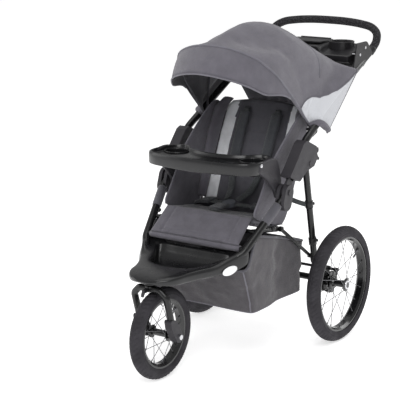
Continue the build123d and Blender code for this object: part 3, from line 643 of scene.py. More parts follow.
def ray_loop(outline, centre, n, smooth=2):
    """Radius of a closed outline seen from a centre at n angles, smoothed."""
    pts = catmull(outline, 720, closed=True) - np.array(centre)
    ang = np.arctan2(pts[:, 1], pts[:, 0])
    rad = np.hypot(pts[:, 0], pts[:, 1])
    o = np.argsort(ang)
    ang, rad = ang[o], rad[o]
    th = np.linspace(-math.pi, math.pi, n, endpoint=False)
    r = np.interp(th, np.r_[ang - 2 * math.pi, ang, ang + 2 * math.pi], np.r_[rad, rad, rad])
    for _ in range(smooth):
        r = (np.roll(r, 1) + 2 * r + np.roll(r, -1)) / 4
    return np.stack([centre[0] + r * np.cos(th), centre[1] + r * np.sin(th)], 1)


def shell_piece():
    N = 128
    cen = (0, -560)
    outer = ray_loop(full([(0, -748), (38, -741), (71, -719), (92, -686), (102, -648), (118, -610), (148, -560),
                           (184, -500), (206, -462), (203, -446), (100, -446), (0, -446)]), cen, N, 1)
    well = ray_loop(full([(0, -612), (50, -608), (80, -592), (97, -560), (116, -515), (142, -466), (70, -462), (0, -462)]), cen, N, 2)

    def zr(y):      # rim top
        return np.interp(y, [-748, -735, -690, -650, -600, -560, -500, -446], [344, 350, 356, 358, 362, 366, 374, 384])

    def boost(x, y):
        """The sides climb around the frame tubes towards the rear."""
        a = np.clip((np.abs(x) - 118) / 40.0, 0, 1)
        b_ = np.clip((y + 580) / 110.0, 0, 1)
        return 26.0 * a * a * (3 - 2 * a) * b_ * b_ * (3 - 2 * b_)

    def zl(y):      # lower edge of the sides
        return np.interp(y, [-748, -735, -690, -640, -560, -500, -455, -446], [333, 329, 327, 328, 335, 343, 360, 368])

    def zf(y):      # floor of the well
        return np.interp(y, [-612, -600, -510, -480, -462], [330, 327, 327, 345, 362])

    loops = []

    def add(loop, z):
        loops.append([M(x, y, zz) for (x, y), zz in zip(loop, z)])
    c = np.array(cen)
    inner = [(0.05, 0), (0.45, 0), (0.80, 0), (0.93, 1)]
    for k, up in inner:
        lp = c + (well - c) * k
        add(lp, zf(lp[:, 1]) + up)
    lp = c + (well - c) * 0.97
    add(lp, zf(lp[:, 1]) + 7)
    rim_z = zr(well[:, 1])
    add(well, rim_z - 8)
    add(offset2(well, -1.5), rim_z - 3)
    add(offset2(well, -5), rim_z + 0.0)
    mid = well + (outer - well) * 0.45
    add(mid, zr(mid[:, 1]) + 1.5)
    mid = well + (outer - well) * 0.78
    add(mid, zr(mid[:, 1]) + 1.0 + boost(mid[:, 0], mid[:, 1]))
    i1 = offset2(outer, 5)
    add(i1, zr(i1[:, 1]) - 1.5 + boost(i1[:, 0], i1[:, 1]))
    i2 = offset2(outer, 1.2)
    add(i2, zr(i2[:, 1]) - 6 + boost(i2[:, 0], i2[:, 1]))
    add(outer, ((zr(outer[:, 1]) + boost(outer[:, 0], outer[:, 1])) * 0.62 + zl(outer[:, 1]) * 0.38))
    i3 = offset2(outer, 1.0)
    add(i3, zl(outer[:, 1]) + 4)
    i4 = offset2(outer, 5)
    add(i4, zl(outer[:, 1]))
    i5 = offset2(outer, 12)
    add(i5, zl(outer[:, 1]) + 0.5)
    for k in (0.72, 0.4, 0.06):
        lp = c + (outer - c) * k
        zz = np.interp(lp[:, 1], [-748, -700, -610, -560, -500, -470, -446], [333, 326, 324, 321, 319.5, 340, 366])
        add(lp, zz)
    ob = loft("footrest_scoop", loops, ["gloss_black"], level=1)
    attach(ob, "front_frame")
    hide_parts("footrest_shell")


shell_piece()


def reflectors():
    def mk(side, s):
        n = Vector((s * 0.86, -0.5, 0.10)).normalized()
        c = M(s * 166.5, -516.2, 349) + n * 0.0095
        t = Vector((0, 0, 1)).cross(n).normalized() * s
        t = (t + Vector((0, 0, 0.30 if s > 0 else 0.30))).normalized() if True else t
        u = n.cross(t).normalized()
        t = u.cross(n).normalized()
        loops = []
        for k, h in ((1.0, -0.002), (1.0, 0.0015), (0.93, 0.0026), (0.6, 0.0032), (0.1, 0.0034)):
            loops.append([c + t * math.cos(a) * 0.027 * k + u * math.sin(a) * 0.0135 * k + n * h for a in np.linspace(0, 2 * math.pi, 40, endpoint=False)])
        return loft("reflector_" + side, loops, ["white_plastic"], level=1)
    obs = both(mk)
    for o in obs:
        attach(o, "front_frame")
    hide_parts("shell_reflectors")


reflectors()

# ----------------------------------------------------------------------
# canopy
# ----------------------------------------------------------------------
PROF = {
    134: [(213, 20), (209, 63), (207, 136), (201, 213), (190, 278), (172, 319), (152, 350), (118, 376), (62, 398), (0, 404)],
    124: [(213, 20), (209, 62), (206, 128), (200, 192), (189, 248), (176, 296), (157, 316), (111, 331), (55, 353), (0, 385)],
    118: [(213, 20), (209, 61), (205, 122), (199, 182), (189, 238), (176, 284), (157, 300), (111, 312), (55, 341), (0, 374)],
    112: [(214, 20), (209, 60), (205, 115), (198, 170), (188, 225), (176, 264), (157, 284), (111, 304), (52, 337), (0, 365)],
    92: [(214, 20), (211, 60), (208, 110), (202, 165), (192, 215), (178, 250), (157, 281), (111, 310), (50, 338), (0, 346)],
    72: [(214, 20), (214, 62), (213, 115), (207, 165), (197, 215), (182, 245), (157, 268), (111, 291), (50, 321), (0, 334)],
    52: [(213, 20), (214, 75), (213, 140), (210, 195), (203, 235), (188, 258), (157, 279), (110, 301), (50, 331), (0, 349)],
    36: [(213, 20), (213, 95), (214, 180), (214, 240), (213, 278), (206, 292), (175, 308), (111, 338), (50, 366), (0, 380)],
}


def canopy_point(phi, u, dr=0.0):
    """phi in degrees from +Y; u (not used) from 0 (left bottom) to 1 (right bottom)."""
    keys = sorted(PROF)
    arr = np.array([PROF[k] for k in keys], float)
    cols = [np.interp(phi, keys, arr[:, i, 0]) for i in range(10)]
    rows = [np.interp(phi, keys, arr[:, i, 1]) for i in range(10)]
    return cols, rows


def smooth01(t):
    t = min(max(t, 0.0), 1.0)
    return t * t * (3 - 2 * t)


def over_tube(x, y, z, phi):
    """Low on its sides the cover lies outside the handle tubes."""
    d = -0.492 * (y + 165) + 0.870 * (z - 715)
    w = (1 - smooth01((d - 17) / 48.0)) * smooth01((122 - phi) / 40.0) * smooth01((abs(x) - 168) / 38.0)
    return math.copysign(abs(x) + (248 - abs(x)) * w, x) if w > 0 else x


def canopy_surface():
    NU, phis = 97, list(np.linspace(36, 134, 50)) + list(np.linspace(134, 148, 9))[1:]
    grid = []
    for phi in phis:
        base = min(phi, 134)
        cols, rows = canopy_point(base, 0)
        half = list(zip(cols, rows))
        pts = half + [(-x, r) for x, r in reversed(half[:-1])]
        q = catmull(pts, NU)
        line = []
        for j, (x, r) in enumerate(q):
            lip = 0.0
            rr = r
            if phi > 134:
                k = (phi - 134) / 14.0
                w = np.clip((r - 165) / 135.0, 0, 1)
                w = w * w * (3 - 2 * w)
                lip = k * (15.5 * w + 3.4 * (1 - w) * min(max((r - 25) / 50.0, 0.0), 1.0))
                rr = r * (1 + 0.016 * math.sin(k * math.pi * 0.6) * w - 0.03 * k * w * min(abs(x) / 150.0, 1.0))
                x = x * (1 - 0.05 * k * w)
            f = math.radians(base + lip)
            # cloth sags a little between the bows, more on top than on the sides
            if phi < 134:
                for a, b_, amp in ((72, 134, 2.0), (36, 72, 4.0)):
                    if a < phi < b_:
                        t = (phi - a) / (b_ - a)
                        rr -= amp * math.sin(math.pi * t) ** 1.2 * np.clip((r - 120) / 160.0, 0, 1) * (0.5 + 0.5 * math.cos(math.pi * (j / (NU - 1) - 0.5) * 2) * 0.4)
            y, z = P[0] + rr * math.cos(f), P[1] + rr * math.sin(f)
            # the rear edge runs along the handle tube, past the pivot
            sh = 34.0 * max(0.0, 1 - rr / 290.0) * max(0.0, (70 - phi) / 34.0) if phi < 70 else 0.0
            y, z = y + 0.62 * sh, z - 0.78 * sh
            x = over_tube(x, y, z, phi)
            # gentle wrinkles running towards the pivots
            wr = fbm((x * 0.004, phi * 0.05, 3.0), 1.6, 5.0, 3) * 1.3 * np.clip(rr / 200, 0, 1)
            edge = min(abs(phi - 134), abs(phi - 72), abs(phi - 36)) / 8.0
            wr *= min(edge, 1.0)
            y += wr * math.cos(f)
            z += wr * math.sin(f)
            line.append((x, y, z, rr, phi))
        grid.append(line)
    verts, faces, mi = [], [], []
    for line in grid:
        verts.extend(M(x, y, z) for x, y, z, _, _ in line)
    for i in range(len(grid) - 1):
        for j in range(NU - 1):
            faces.append((i * NU + j, i * NU + j + 1, (i + 1) * NU + j + 1, (i + 1) * NU + j))
            r = 0.25 * (grid[i][j][3] + grid[i + 1][j][3] + grid[i][j + 1][3] + grid[i + 1][j + 1][3])
            phi = 0.5 * (grid[i][j][4] + grid[i + 1][j][4])
            mi.append(0)
    ob = finish_mesh("canopy_cover", verts, faces, ["fabric_grey", "fabric_lining"], mi)
    # inner lining by thickness
    s = ob.modifiers.new("thick", "SOLIDIFY")
    s.thickness = 0.0016
    s.offset = 1.0
    s.use_even_offset = False
    s.material_offset = 1
    s.material_offset_rim = 0
    bpy.context.view_layer.objects.active = ob
    return ob, grid


canopy, cgrid = canopy_surface()
# outward normals: the solidify layer must grow inwards
bm = bmesh.new()
bm.from_mesh(canopy.data)
bm.normal_update()
up_face = max(bm.faces, key=lambda f: f.calc_center_median().z)
if up_face.normal.z < 0:
    bmesh.ops.reverse_faces(bm, faces=bm.faces)
bm.to_mesh(canopy.data)
bm.free()
canopy.modifiers["thick"].offset = -1.0


def apply_mods(ob):
    dg = bpy.context.evaluated_depsgraph_get()
    me = bpy.data.meshes.new_from_object(ob.evaluated_get(dg))
    old = ob.data
    ob.modifiers.clear()
    ob.data = me
    me.name = ob.name
    bpy.data.meshes.remove(old)
    return ob


apply_mods(canopy)
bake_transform(canopy)
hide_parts("canopy_front_fabric", "canopy_rear_fabric")


def canopy_line(phi, dr=0.0, n=97, r_min=0):
    cols, rows = canopy_point(phi, 0)
    half = list(zip(cols, rows))
    pts = half + [(-x, r) for x, r in reversed(half[:-1])]
    q = catmull(pts, n)
    f = math.radians(phi)
    return [M(x * (1 + dr / 260.0), P[0] + (r + dr) * math.cos(f), P[1] + (r + dr) * math.sin(f)) for x, r in q if r >= r_min]


for _phi, _body, _node, _nm in ((133, "canopy_front", "canopy_front_bow", "front_bow_sleeve"), (88, "handle_frame", "canopy_middle_bow", "middle_bow_sleeve")):
    _o = tube_mesh(_nm, canopy_line(_phi, -5.5, r_min=19), 0.0042, "fabric_lining", seg=12)
    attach(_o, _body)
    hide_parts(_node)


def window_top(phi):
    return np.interp(phi, [34, 36, 40, 45, 50, 60, 72, 90, 134], [290, 285, 234, 193, 165, 130, 107, 109, 105])


def windows():
    """Light mesh windows low on both sides, sewn onto the cover."""
    keys = sorted(PROF)

    def side_x(phi, r):
        cols, rows = canopy_point(phi, 0)
        half = list(zip(cols, rows))
        q = catmull(half + [(-x_, r_) for x_, r_ in reversed(half[:-1])], 97)[:49]
        return float(np.interp(r, q[:, 1], q[:, 0]))

    def mk(side, s):
        grid, border = [], []
        nphi, nr = 50, 26
        for i in range(nphi):
            phi = 36.6 + (131 - 36.6) * i / (nphi - 1)
            row = []
            for j in range(nr):
                k = j / (nr - 1)
                r = 26 + (window_top(phi) - 26) * k
                f = math.radians(phi)
                sh = 34.0 * max(0.0, 1 - r / 290.0) * max(0.0, (70 - phi) / 34.0) if phi < 70 else 0.0
                y, z = P[0] + r * math.cos(f) + 0.62 * sh, P[1] + r * math.sin(f) - 0.78 * sh
                x = side_x(phi, r) + 1.6
                row.append(M(s * (over_tube(x - 1.6, y, z, phi) + 1.6), y, z))
            grid.append(row)
        verts = [v for row in grid for v in row]
        faces = [(i * nr + j, i * nr + j + 1, (i + 1) * nr + j + 1, (i + 1) * nr + j) for i in range(nphi - 1) for j in range(nr - 1)]
        ob = finish_mesh("canopy_window_" + side, verts, faces, ["mesh_light"])
        sd = ob.modifiers.new("thick", "SOLIDIFY")
        sd.thickness = 0.0012
        sd.offset = 0
        apply_mods(ob)
        top = [row[-1] for row in grid]
        line = tube_mesh("canopy_window_seam_" + side, top, 0.0014, "piping", seg=8)
        f0 = [row[0] for row in grid]
        tab = tube_mesh("canopy_tab_" + side, [f0[0] + Vector((0, 0.004, 0.004)), f0[8], f0[30], f0[-1] + Vector((0, -0.006, 0.0))], [0.009, 0.012, 0.012, 0.008], "fabric_grey", seg=14, n=20)
        return ob, line, tab
    return both(mk)


_pieces = []
for _ob, _line, _tab in windows():
    _pieces += [_ob, _line]
    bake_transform(_ob)
    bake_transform(_line)
    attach(_tab, "handle_frame")

pip = tube_mesh("canopy_front_piping", canopy_line(134, 0.6), 0.0032, "piping", seg=10)
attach(pip, "canopy_front")
pts_lip = []
for j in range(97):
    x, y, z, r, phi = cgrid[-1][j]
    if r > 178:
        pts_lip.append(M(x, y, z))
lip = tube_mesh("canopy_lip_binding", pts_lip, 0.0026, "piping", seg=10)
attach(lip, "canopy_front")
mid_seam = tube_mesh("canopy_middle_seam", canopy_line(72, 0.2, r_min=168), 0.0018, "piping", seg=8)
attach(mid_seam, "handle_frame")
hem_line = [M(x, y, z) for x, y, z, r, phi in cgrid[0]]
rear_hem = tube_mesh("canopy_rear_hem", hem_line, 0.0028, "fabric_grey", seg=8)
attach(rear_hem, "handle_frame")

def curtain():
    """Cloth that hangs from the canopy's rear edge behind the seat."""
    top = [(x, y, z) for x, y, z, r, phi in cgrid[0] if r > 250]
    n = len(top)
    verts = []
    for k in range(14):
        t = k / 13.0
        for x, y, z in top:
            yb = 144 - 12 * (x / 215.0) ** 2
            w = min(1.0, t * 2.5)
            verts.append(M(x * (1 - 0.32 * t), y + (yb - y) * w + 3 * math.sin(x * 0.12) * t, z - 3 + (764 - z + 3) * t))
    faces = [(k * n + i, k * n + i + 1, (k + 1) * n + i + 1, (k + 1) * n + i) for k in range(13) for i in range(n - 1)]
    ob = finish_mesh("canopy_back_curtain", verts, faces, ["fabric_lining"])
    sd = ob.modifiers.new("thick", "SOLIDIFY")
    sd.thickness = 0.0012
    apply_mods(ob)
    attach(ob, "handle_frame")


curtain()

# ----------------------------------------------------------------------
# seat
# ----------------------------------------------------------------------
ANG = math.atan2(819 - 462, 164)


def back_pt(u, v):
    c, s_ = math.cos(ANG), math.sin(ANG)
    return (-200 + u * c + v * s_, 462 + u * s_ - v * c)


def pad(name, place, width, length, thick, mats, nu=49, nv=49, front=None, index=None, back=0.0, corner=0.12, plump=1.0):
    """Crowned closed pad. place(a, b, h) gives the point for a in -1..1 across, b in 0..1 along, h mm above the base."""
    loops = []

    def edge(a, b_):
        ea = max(0.0, 1 - abs(a) ** 8)
        eb = max(0.0, 1 - abs(2 * b_ - 1) ** 12)
        return (ea * eb) ** 0.45

    top, bot = [], []
    for i in range(nv):
        b_ = i / (nv - 1)
        rt, rb = [], []
        for j in range(nu):
            a = -1 + 2 * j / (nu - 1)
            h = thick * edge(a, b_)
            if front:
                h += front(a, b_) * min(1.0, edge(a, b_) * 1.3)
            rt.append(place(a, b_, h))
            rb.append(place(a, b_, -back * edge(a, b_)))
        top.append(rt)
        bot.append(rb)
    verts = [v for r in top for v in r] + [v for r in bot for v in r]
    off = nu * nv
    faces, mi = [], []
    for i in range(nv - 1):
        for j in range(nu - 1):
            q = i * nu + j
            faces.append((q, q + 1, q + nu + 1, q + nu))
            mi.append(index(-1 + 2 * (j + 0.5) / (nu - 1), (i + 0.5) / (nv - 1)) if index else 0)
            faces.append((off + q, off + q + nu, off + q + nu + 1, off + q + 1))
            mi.append(0)
    ob = finish_mesh(name, verts, faces, mats, mi, merge=0.00005)
    return ob


def seam(x, at, w, depth):
    return -depth * math.exp(-((x - at) / w) ** 2)


def back_width(b_):
    return np.interp(b_, [0, 0.3, 0.6, 0.8, 0.92, 1.0], [160, 166, 168, 167, 160, 140])


def make_backrest():
    def place(a, b_, h):
        w = back_width(b_)
        x = a * w
        u = 4 + b_ * 388 - (1 - math.cos(a * math.pi / 2)) * (16 if b_ > 0.9 else 16 * max(0, (b_ - 0.7) / 0.2))
        y, z = back_pt(u, 20 - h)
        return M(x, y, z)

    def front(a, b_):
        x = a * back_width(b_)
        d = 0
        for s in (-1, 1):
            d += seam(x, s * 104, 4, 5)
            d += seam(x, s * 153, 4, 4)
        d += 5 * math.cos(x / 98 * math.pi / 2) if abs(x) < 98 else 0
        for at in (0.36, 0.70):
            d += seam(b_ * 388, at * 388, 5, 3.0) * (1 if abs(x) < 98 else 0.2)
        d += fbm((x * 0.01, b_ * 3, 1.0), 2.2, 11.0) * 2.4
        return d

    def index(a, b_):
        x = abs(a * back_width(b_))
        return 1 if 106 < x < 152 else 0
    ob = pad("backrest_cushion", place, 1, 1, 16, ["fabric_dark", "stripe_light"], nu=81, nv=81, front=front, index=index, back=3)
    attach(ob, "seat_back")
    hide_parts("backrest_pad")
    return ob


make_backrest()


def make_seat_pad():
    def place(a, b_, h):
        x = a * 173
        y = np.interp(b_, [0, 1], [-206, -382])
        z = np.interp(b_, [0, 1], [441, 470])
        n = Vector((0, math.sin(math.radians(-9.5)), math.cos(math.radians(9.5))))
        return M(x, y + n.y * h, z + n.z * h)

    def front(a, b_):
        x = a * 165
        d = -3.5 * math.cos(x / 165 * math.pi / 2) + 4.0 * abs(a) ** 3
        for s in (-1, 1):
            d += seam(x, s * 112, 5, 4)
        d += seam(b_ * 176, 100, 5, 3.5) * (1 if abs(x) < 112 else 0.2)
        d += fbm((x * 0.012, b_ * 2.4, 2.0), 2.2, 3.0) * 2.2
        return d
    ob = pad("seat_cushion", place, 1, 1, 21, ["fabric_dark"], nu=65, nv=49, front=front)
    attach(ob, "front_frame")
    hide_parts("seat_pad")


make_seat_pad()


def seat_fill():
    """Roll in the crease and the cloth sling under the cushion."""
    roll = tube_mesh("seat_crease_roll", [M(x, -207 + 2 * math.cos(x / 60.0), 455) for x in np.linspace(-172, 172, 25)], 0.0165, "fabric_dark", seg=18)

    def place(a, b_, h):
        y = np.interp(b_, [0, 0.5, 1], [-196, -290, -392])
        z = np.interp(b_, [0, 0.5, 1], [437, 447, 472])
        return M(a * 175, y, z - 4 + h)
    sling = pad("seat_sling", place, 1, 1, 12, ["fabric_dark"], nu=33, nv=33)
    for o in (roll, sling):
        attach(o, "front_frame")


seat_fill()


def make_calf():
    p0, p1 = (-380, 489), (-469, 418.5)
    d = np.array([p1[0] - p0[0], p1[1] - p0[1]], float)
    L = np.linalg.norm(d)
    d /= L
    nrm = np.array([d[1], -d[0]])
    if nrm[1] < 0:
        nrm = -nrm

    def place(a, b_, h):
        w = np.interp(b_, [0, 1], [166, 172])
        x = a * w
        # the panel runs straight from its top edge at the front of the seat down to the calf bar
        y, z = p0[0] + d[0] * L * b_, p0[1] + d[1] * L * b_
        return M(x, y + nrm[0] * h, z + nrm[1] * h)

    def front(a, b_):
        x = a * 170
        dd = 0
        for s in (-1, 1):
            dd += seam(x, s * 128, 4, 3.0)
        dd += seam(b_, 0.12, 0.04, 1.2) + seam(b_, 0.86, 0.035, 2.6) * (1 if abs(x) < 128 else 0.3)
        dd += fbm((x * 0.011, b_ * 1.6, 5.0), 2.2, 7.0) * 1.8
        return dd
    ob = pad("calf_cushion", place, 1, 1, 8.5, ["fabric_grey"], nu=81, nv=41, front=front, back=2.5)
    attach(ob, "front_frame")
    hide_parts("calf_pad")
    # front lip of the panel, folded over the calf bar
    lip_pts = [M(x, -463 - 2.0 * math.cos(x / 172 * math.pi / 2), 408) for x in np.linspace(-174, 174, 25)]
    lip_ = tube_mesh("calf_lip", lip_pts, 0.0105, "fabric_grey", seg=18)
    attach(lip_, "front_frame")


make_calf()


SIDE = [(-378, 492), (-380, 506), (-352, 545), (-322, 590), (-292, 640), (-240, 690), (-185, 735), (-130, 775), (-88, 797), (-56, 792),
        (-48, 765), (-78, 690), (-118, 590), (-160, 500), (-200, 442), (-222, 436), (-300, 458)]


def side_panels():
    loop = catmull(SIDE, 96, closed=True)
    obs = []

    def mk(side, s):
        loops = []
        for d, x in ((26, 171.2), (12, 170.4), (4, 170.8), (0.6, 172.5), (0, 174.2), (0.6, 176), (4, 177.4), (14, 177.8), (28, 177.0)):
            lp = offset2(loop, d)
            row = []
            for (y, z) in lp:
                wv = fbm((y * 0.01, z * 0.01, s), 2.4, 9.0) * (1.2 if d > 2 else 0.4)
                # upper front part leans out a little, like a wing
                lean = np.interp(z, [480, 600, 720, 800], [0, 0, 6, 10]) * np.interp(y, [-300, -60], [1, 0.3])
                row.append(M(s * (x + wv + lean), y, z))
            loops.append(row)
        ob = loft("seat_side_" + side, loops, ["fabric_grey"], level=1)
        # concave outline: caps are fans around the middle, so cover them with the inner field
        return ob
    obs = both(mk)
    for o in obs:
        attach(o, "front_frame")
    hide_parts("seat_side_panels")

    def pipe(side, s):
        pts = []
        for (y, z) in catmull(SIDE[0:11], 60):
            lean = np.interp(z, [480, 600, 720, 800], [0, 0, 6, 10]) * np.interp(y, [-300, -60], [1, 0.3])
            pts.append(M(s * (174.2 + lean), y, z))
        return tube_mesh("side_piping_" + side, pts, 0.0027, "piping", seg=8)
    for o in both(pipe):
        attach(o, "front_frame")


side_panels()


def wings():
    """Head-side bolsters that join the backrest to the side panels."""
    def mk(side, s):
        loops = []
        for b_ in np.linspace(0.05, 0.97, 40):
            u = 4 + b_ * 388
            w0 = np.interp(b_, [0, 0.3, 0.6, 0.8, 0.92, 1.0], [146, 152, 154, 152, 142, 120])
            ring = []
            depth = np.interp(b_, [0.05, 0.25, 0.6, 0.85, 0.97], [26, 34, 52, 46, 18])
            x1 = np.interp(b_, [0.05, 0.5, 0.85, 0.97], [166, 170, 172, 160])
            for t in np.linspace(0, 2 * math.pi, 20, endpoint=False):
                # a rounded strip from the pad's edge forwards and outwards
                cx, cv = (w0 + x1) / 2, -depth / 2
                ex, ev = (x1 - w0) / 2 + 4.5, depth / 2 + 3
                x = cx + ex * math.cos(t)
                v = cv + ev * math.sin(t)
                # push towards a diagonal so that the strip leans outwards
                x += (-(v - cv)) * 0.10
                x = min(x, x1 + 3)
                wv = fbm((x * 0.02, b_ * 5, v * 0.02), 2.0, 2.0 + s) * 1.6
                y, z = back_pt(u, v + 8 + wv)
                ring.append(M(s * min(x + wv * 0.4, 174), y, z))
            loops.append(ring)
        return loft("head_wing_" + side, loops, ["fabric_grey"], level=1)
    for o in both(mk):
        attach(o, "seat_back")


wings()

# harness -----------------------------------------------------------------
def harness():
    fwd = Vector((0, -math.sin(ANG), math.cos(ANG)))
    fwd = Vector((0, -math.sin(ANG), math.cos(ANG)))

    def bp(x, u, v):
        y, z = back_pt(u, v)
        return M(x, y, z)
    nrm = Vector((0, -math.sin(ANG), math.cos(ANG)))

    def mk(side, s):
        pts = [bp(s * 62, 352, -2), bp(s * 62, 330, -7), bp(s * 61, 260, -8), bp(s * 58, 170, -9), bp(s * 50, 110, -12), bp(s * 38, 60, -22),
               M(s * 22, -242, 502)]
        strap = ribbon("shoulder_strap_" + side, pts, 0.024, 0.0018, "webbing", lambda t: Vector((0, -math.sin(ANG), math.cos(ANG))), n=60)
        padp = [bp(s * 62, 336, -5), bp(s * 62, 300, -9), bp(s * 61, 220, -10), bp(s * 59, 150, -11)]
        pd = ribbon("shoulder_pad_" + side, padp, 0.038, 0.008, "pad_teal", lambda t: Vector((0, -math.sin(ANG), math.cos(ANG))), n=40)
        adj = ribbon("strap_slider_" + side, [bp(s * 57, 142, -12.5), bp(s * 55, 128, -13)], 0.034, 0.006, "buckle_grey", lambda t: Vector((0, -math.sin(ANG), math.cos(ANG))), n=6)
        return strap, pd, adj
    for strap, pd, adj in both(mk):
        for o, sl in ((strap, "webbing"), (pd, "webbing"), (adj, "buckle_grey")):
            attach(o, "seat_back")
        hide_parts("shoulder_straps")

    def lap(side, s):
        up = Vector((0, -0.2, 1))
        pts = [M(s * 160, -222, 468), M(s * 130, -226, 478), M(s * 90, -238, 486), M(s * 55, -250, 491), M(s * 24, -260, 493)]
        st = ribbon("lap_strap_" + side, pts, 0.024, 0.0018, "webbing", up, n=40)
        pp = [M(s * 140, -222, 479), M(s * 110, -230, 485), M(s * 78, -241, 490)]
        pd = ribbon("lap_pad_" + side, pp, 0.046, 0.008, "pad_teal", up, n=30)
        return st, pd
    obs = both(lap)
    for st, pd in obs:
        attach(st, "front_frame")
        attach(pd, "front_frame")
    pts = [M(0, -352, 489), M(0, -330, 492), M(0, -300, 494), M(0, -276, 494)]
    cr = ribbon("crotch_strap", pts, 0.028, 0.002, "webbing", Vector((0, 0, 1)), n=24)
    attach(cr, "front_frame")
    pts = [M(0, -346, 493), M(0, -325, 495.5), M(0, -296, 497)]
    cp = ribbon("crotch_pad", pts, 0.046, 0.007, "pad_teal", Vector((0, 0, 1)), n=24)
    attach(cp, "front_frame")
    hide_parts("lap_straps")


harness()

# ----------------------------------------------------------------------
# basket
# ----------------------------------------------------------------------
def basket():
    def outline(t_, grow=0.0):
        """Rounded rectangle in plan; t_ selects front/rear positions (yf, yr) and half widths."""
        yf, yr, wf, wr = t_
        wm = np.interp(-285, [yf, yr], [wf, wr])
        pts = [(wf - 6, yf), (0, yf - 3), (-wf + 6, yf), (-wf, yf + 8), (-wf, yf + 90), (-wf + 3, -300), (-wr, -245), (-wr, yr - 10), (-wr + 8, yr),
               (0, yr + 3), (wr - 8, yr), (wr, yr - 10), (wr, -245), (wf - 3, -300), (wf, yf + 90), (wf, yf + 8)]
        return catmull(pts, 140, closed=True)
    loops = []
    levels = np.linspace(0, 1, 22)
    for k in levels:
        zf, zr_ = 338 + (194 - 338) * k, 352 + (192 - 352) * k
        yf = np.interp(k, [0, 1], [-474, -416])
        yr = np.interp(k, [0, 1], [-84, -90])
        wf, wr = np.interp(k, [0, 1], [199, 193]), np.interp(k, [0, 1], [184, 180])
        sag = math.sin(math.pi * k) * 1.0
        lp = outline((yf, yr, wf, wr))
        row = []
        n = len(lp)
        for (x, y) in lp:
            f = (y - yf) / (yr - yf)
            f = min(max(f, 0), 1)
            side = abs(x) > 150
            top = np.interp(y, [-470, -452, -425, -400, -260, -84], [340, 352, 412, 440, 404, 354]) if side else np.interp(f, [0, 0.1, 1], [338, 344, 354])
            top = top if side else np.interp(abs(x), [120, 150], [top, np.interp(y, [-470, -84], [344, 354])])
            z = top + (np.interp(f, [0, 1], [187, 183]) - top) * k
            # the cloth pulls inwards between the corners and wrinkles
            c = Vector((x / 200.0, (y + 290) / 190.0))
            side = 1 - min(1.0, abs(abs(c.x) - 1) * 3)
            pull = (3.0 + 2.0 * sag) * (1 - c.x * c.x * c.y * c.y) * (1 if k > 0.02 else 0.3)
            w = fbm((x * 0.006, y * 0.006, z * 0.010), 2.0, 21.0, 4)
            w2 = math.sin((y * 0.045 + z * 0.09) + 3 * w) * 1.6
            amp = 6.0 * min(1.0, k * 6) * min(1.0, (1 - k) * 8)
            d = min(w * amp + w2 * min(1.0, k * 5) * min(1.0, (1 - k) * 5) - pull * 0.5, 2.0)
            l = math.hypot(x, y + 290)
            row.append(M(x + x / l * d, y + (y + 290) / l * d, z))
        loops.append(row)
    # bottom
    c0 = np.array([0.0, -256.0])
    last = outline((-416, -90, 193, 180))
    for s_, dz in ((0.96, -2.0), (0.8, -3.5), (0.5, -2.5), (0.2, -1.5)):
        row = []
        for (x, y) in last:
            q = c0 + (np.array([x, y]) - c0) * s_
            row.append(M(q[0], q[1], 186 + dz + fbm((q[0] * 0.01, q[1] * 0.01, 0), 2.0, 4.0) * 1.5))
        loops.append(row)
    ob = loft("basket_bag", loops, ["fabric_basket"], cap_a=False, cap_b=True)
    s = ob.modifiers.new("thick", "SOLIDIFY")
    s.thickness = 0.0018
    s.offset = 0
    apply_mods(ob)
    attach(ob, "front_frame")
    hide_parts("basket")
    hem_pts = [Vector(v) for v in loops[0]] + [Vector(loops[0][0])]
    hem = tube_mesh("basket_hem", hem_pts, 0.0045, "fabric_dark", seg=10)
    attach(hem, "front_frame")
    # seams at the front corners

    def corner(side, s_):
        idx = min(range(140), key=lambda j: (loops[10][j] - M(s_ * 194, -452, 265)).length)
        pts = [Vector(loops[i][idx]) for i in range(0, 22)]
        return tube_mesh("basket_seam_" + side, pts, 0.0022, "piping", seg=8)
    for o in both(corner):
        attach(o, "front_frame")
    bot_pts = [Vector(v) for v in loops[21]] + [Vector(loops[21][0])]
    bs = tube_mesh("basket_bottom_seam", bot_pts, 0.0022, "piping", seg=8)
    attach(bs, "front_frame")


basket()

# ----------------------------------------------------------------------
# child tray and its arms
# ----------------------------------------------------------------------
def boolean_cut(ob, cutter):
    m_ = ob.modifiers.new("cut", "BOOLEAN")
    m_.operation = "DIFFERENCE"
    m_.solver = "EXACT"
    m_.object = cutter
    apply_mods(ob)
    bpy.data.objects.remove(cutter)


def cyl_obj(name, c, r, z0, z1, seg=64, mat="gloss_black"):
    loops = [[M(c[0] + rr * math.cos(a), c[1] + rr * math.sin(a), z) for a in np.linspace(0, 2 * math.pi, seg, endpoint=False)] for z, rr in ((z0, r), (z1, r))]
    return loft(name, loops, [mat])


def cup_obj(name, c, r, z_top, z_bot, mat, wall=2.6, drop=0.0):
    prof = [(0.2, z_bot + 1.5), (r * 0.8, z_bot + 1.5), (r - 3, z_bot + 2.2), (r - 0.6, z_bot + 6), (r, z_top - 5), (r + 0.3, z_top - 1), (r + 1.6, z_top + 0.8), (r + 3.2, z_top + 1.0),
            (r + 4.6, z_top), (r + 5.0, z_top - 2.5), (r + wall, z_top - 5), (r + wall * 0.8, z_bot + 8), (r - 1.5, z_bot + 1), (r * 0.8, z_bot - 1), (0.2, z_bot - 1)]
    loops = [[M(c[0] + rr * math.cos(a), c[1] + rr * math.sin(a), z) for a in np.linspace(0, 2 * math.pi, 64, endpoint=False)] for rr, z in prof]
    return loft(name, loops, [mat], level=1)


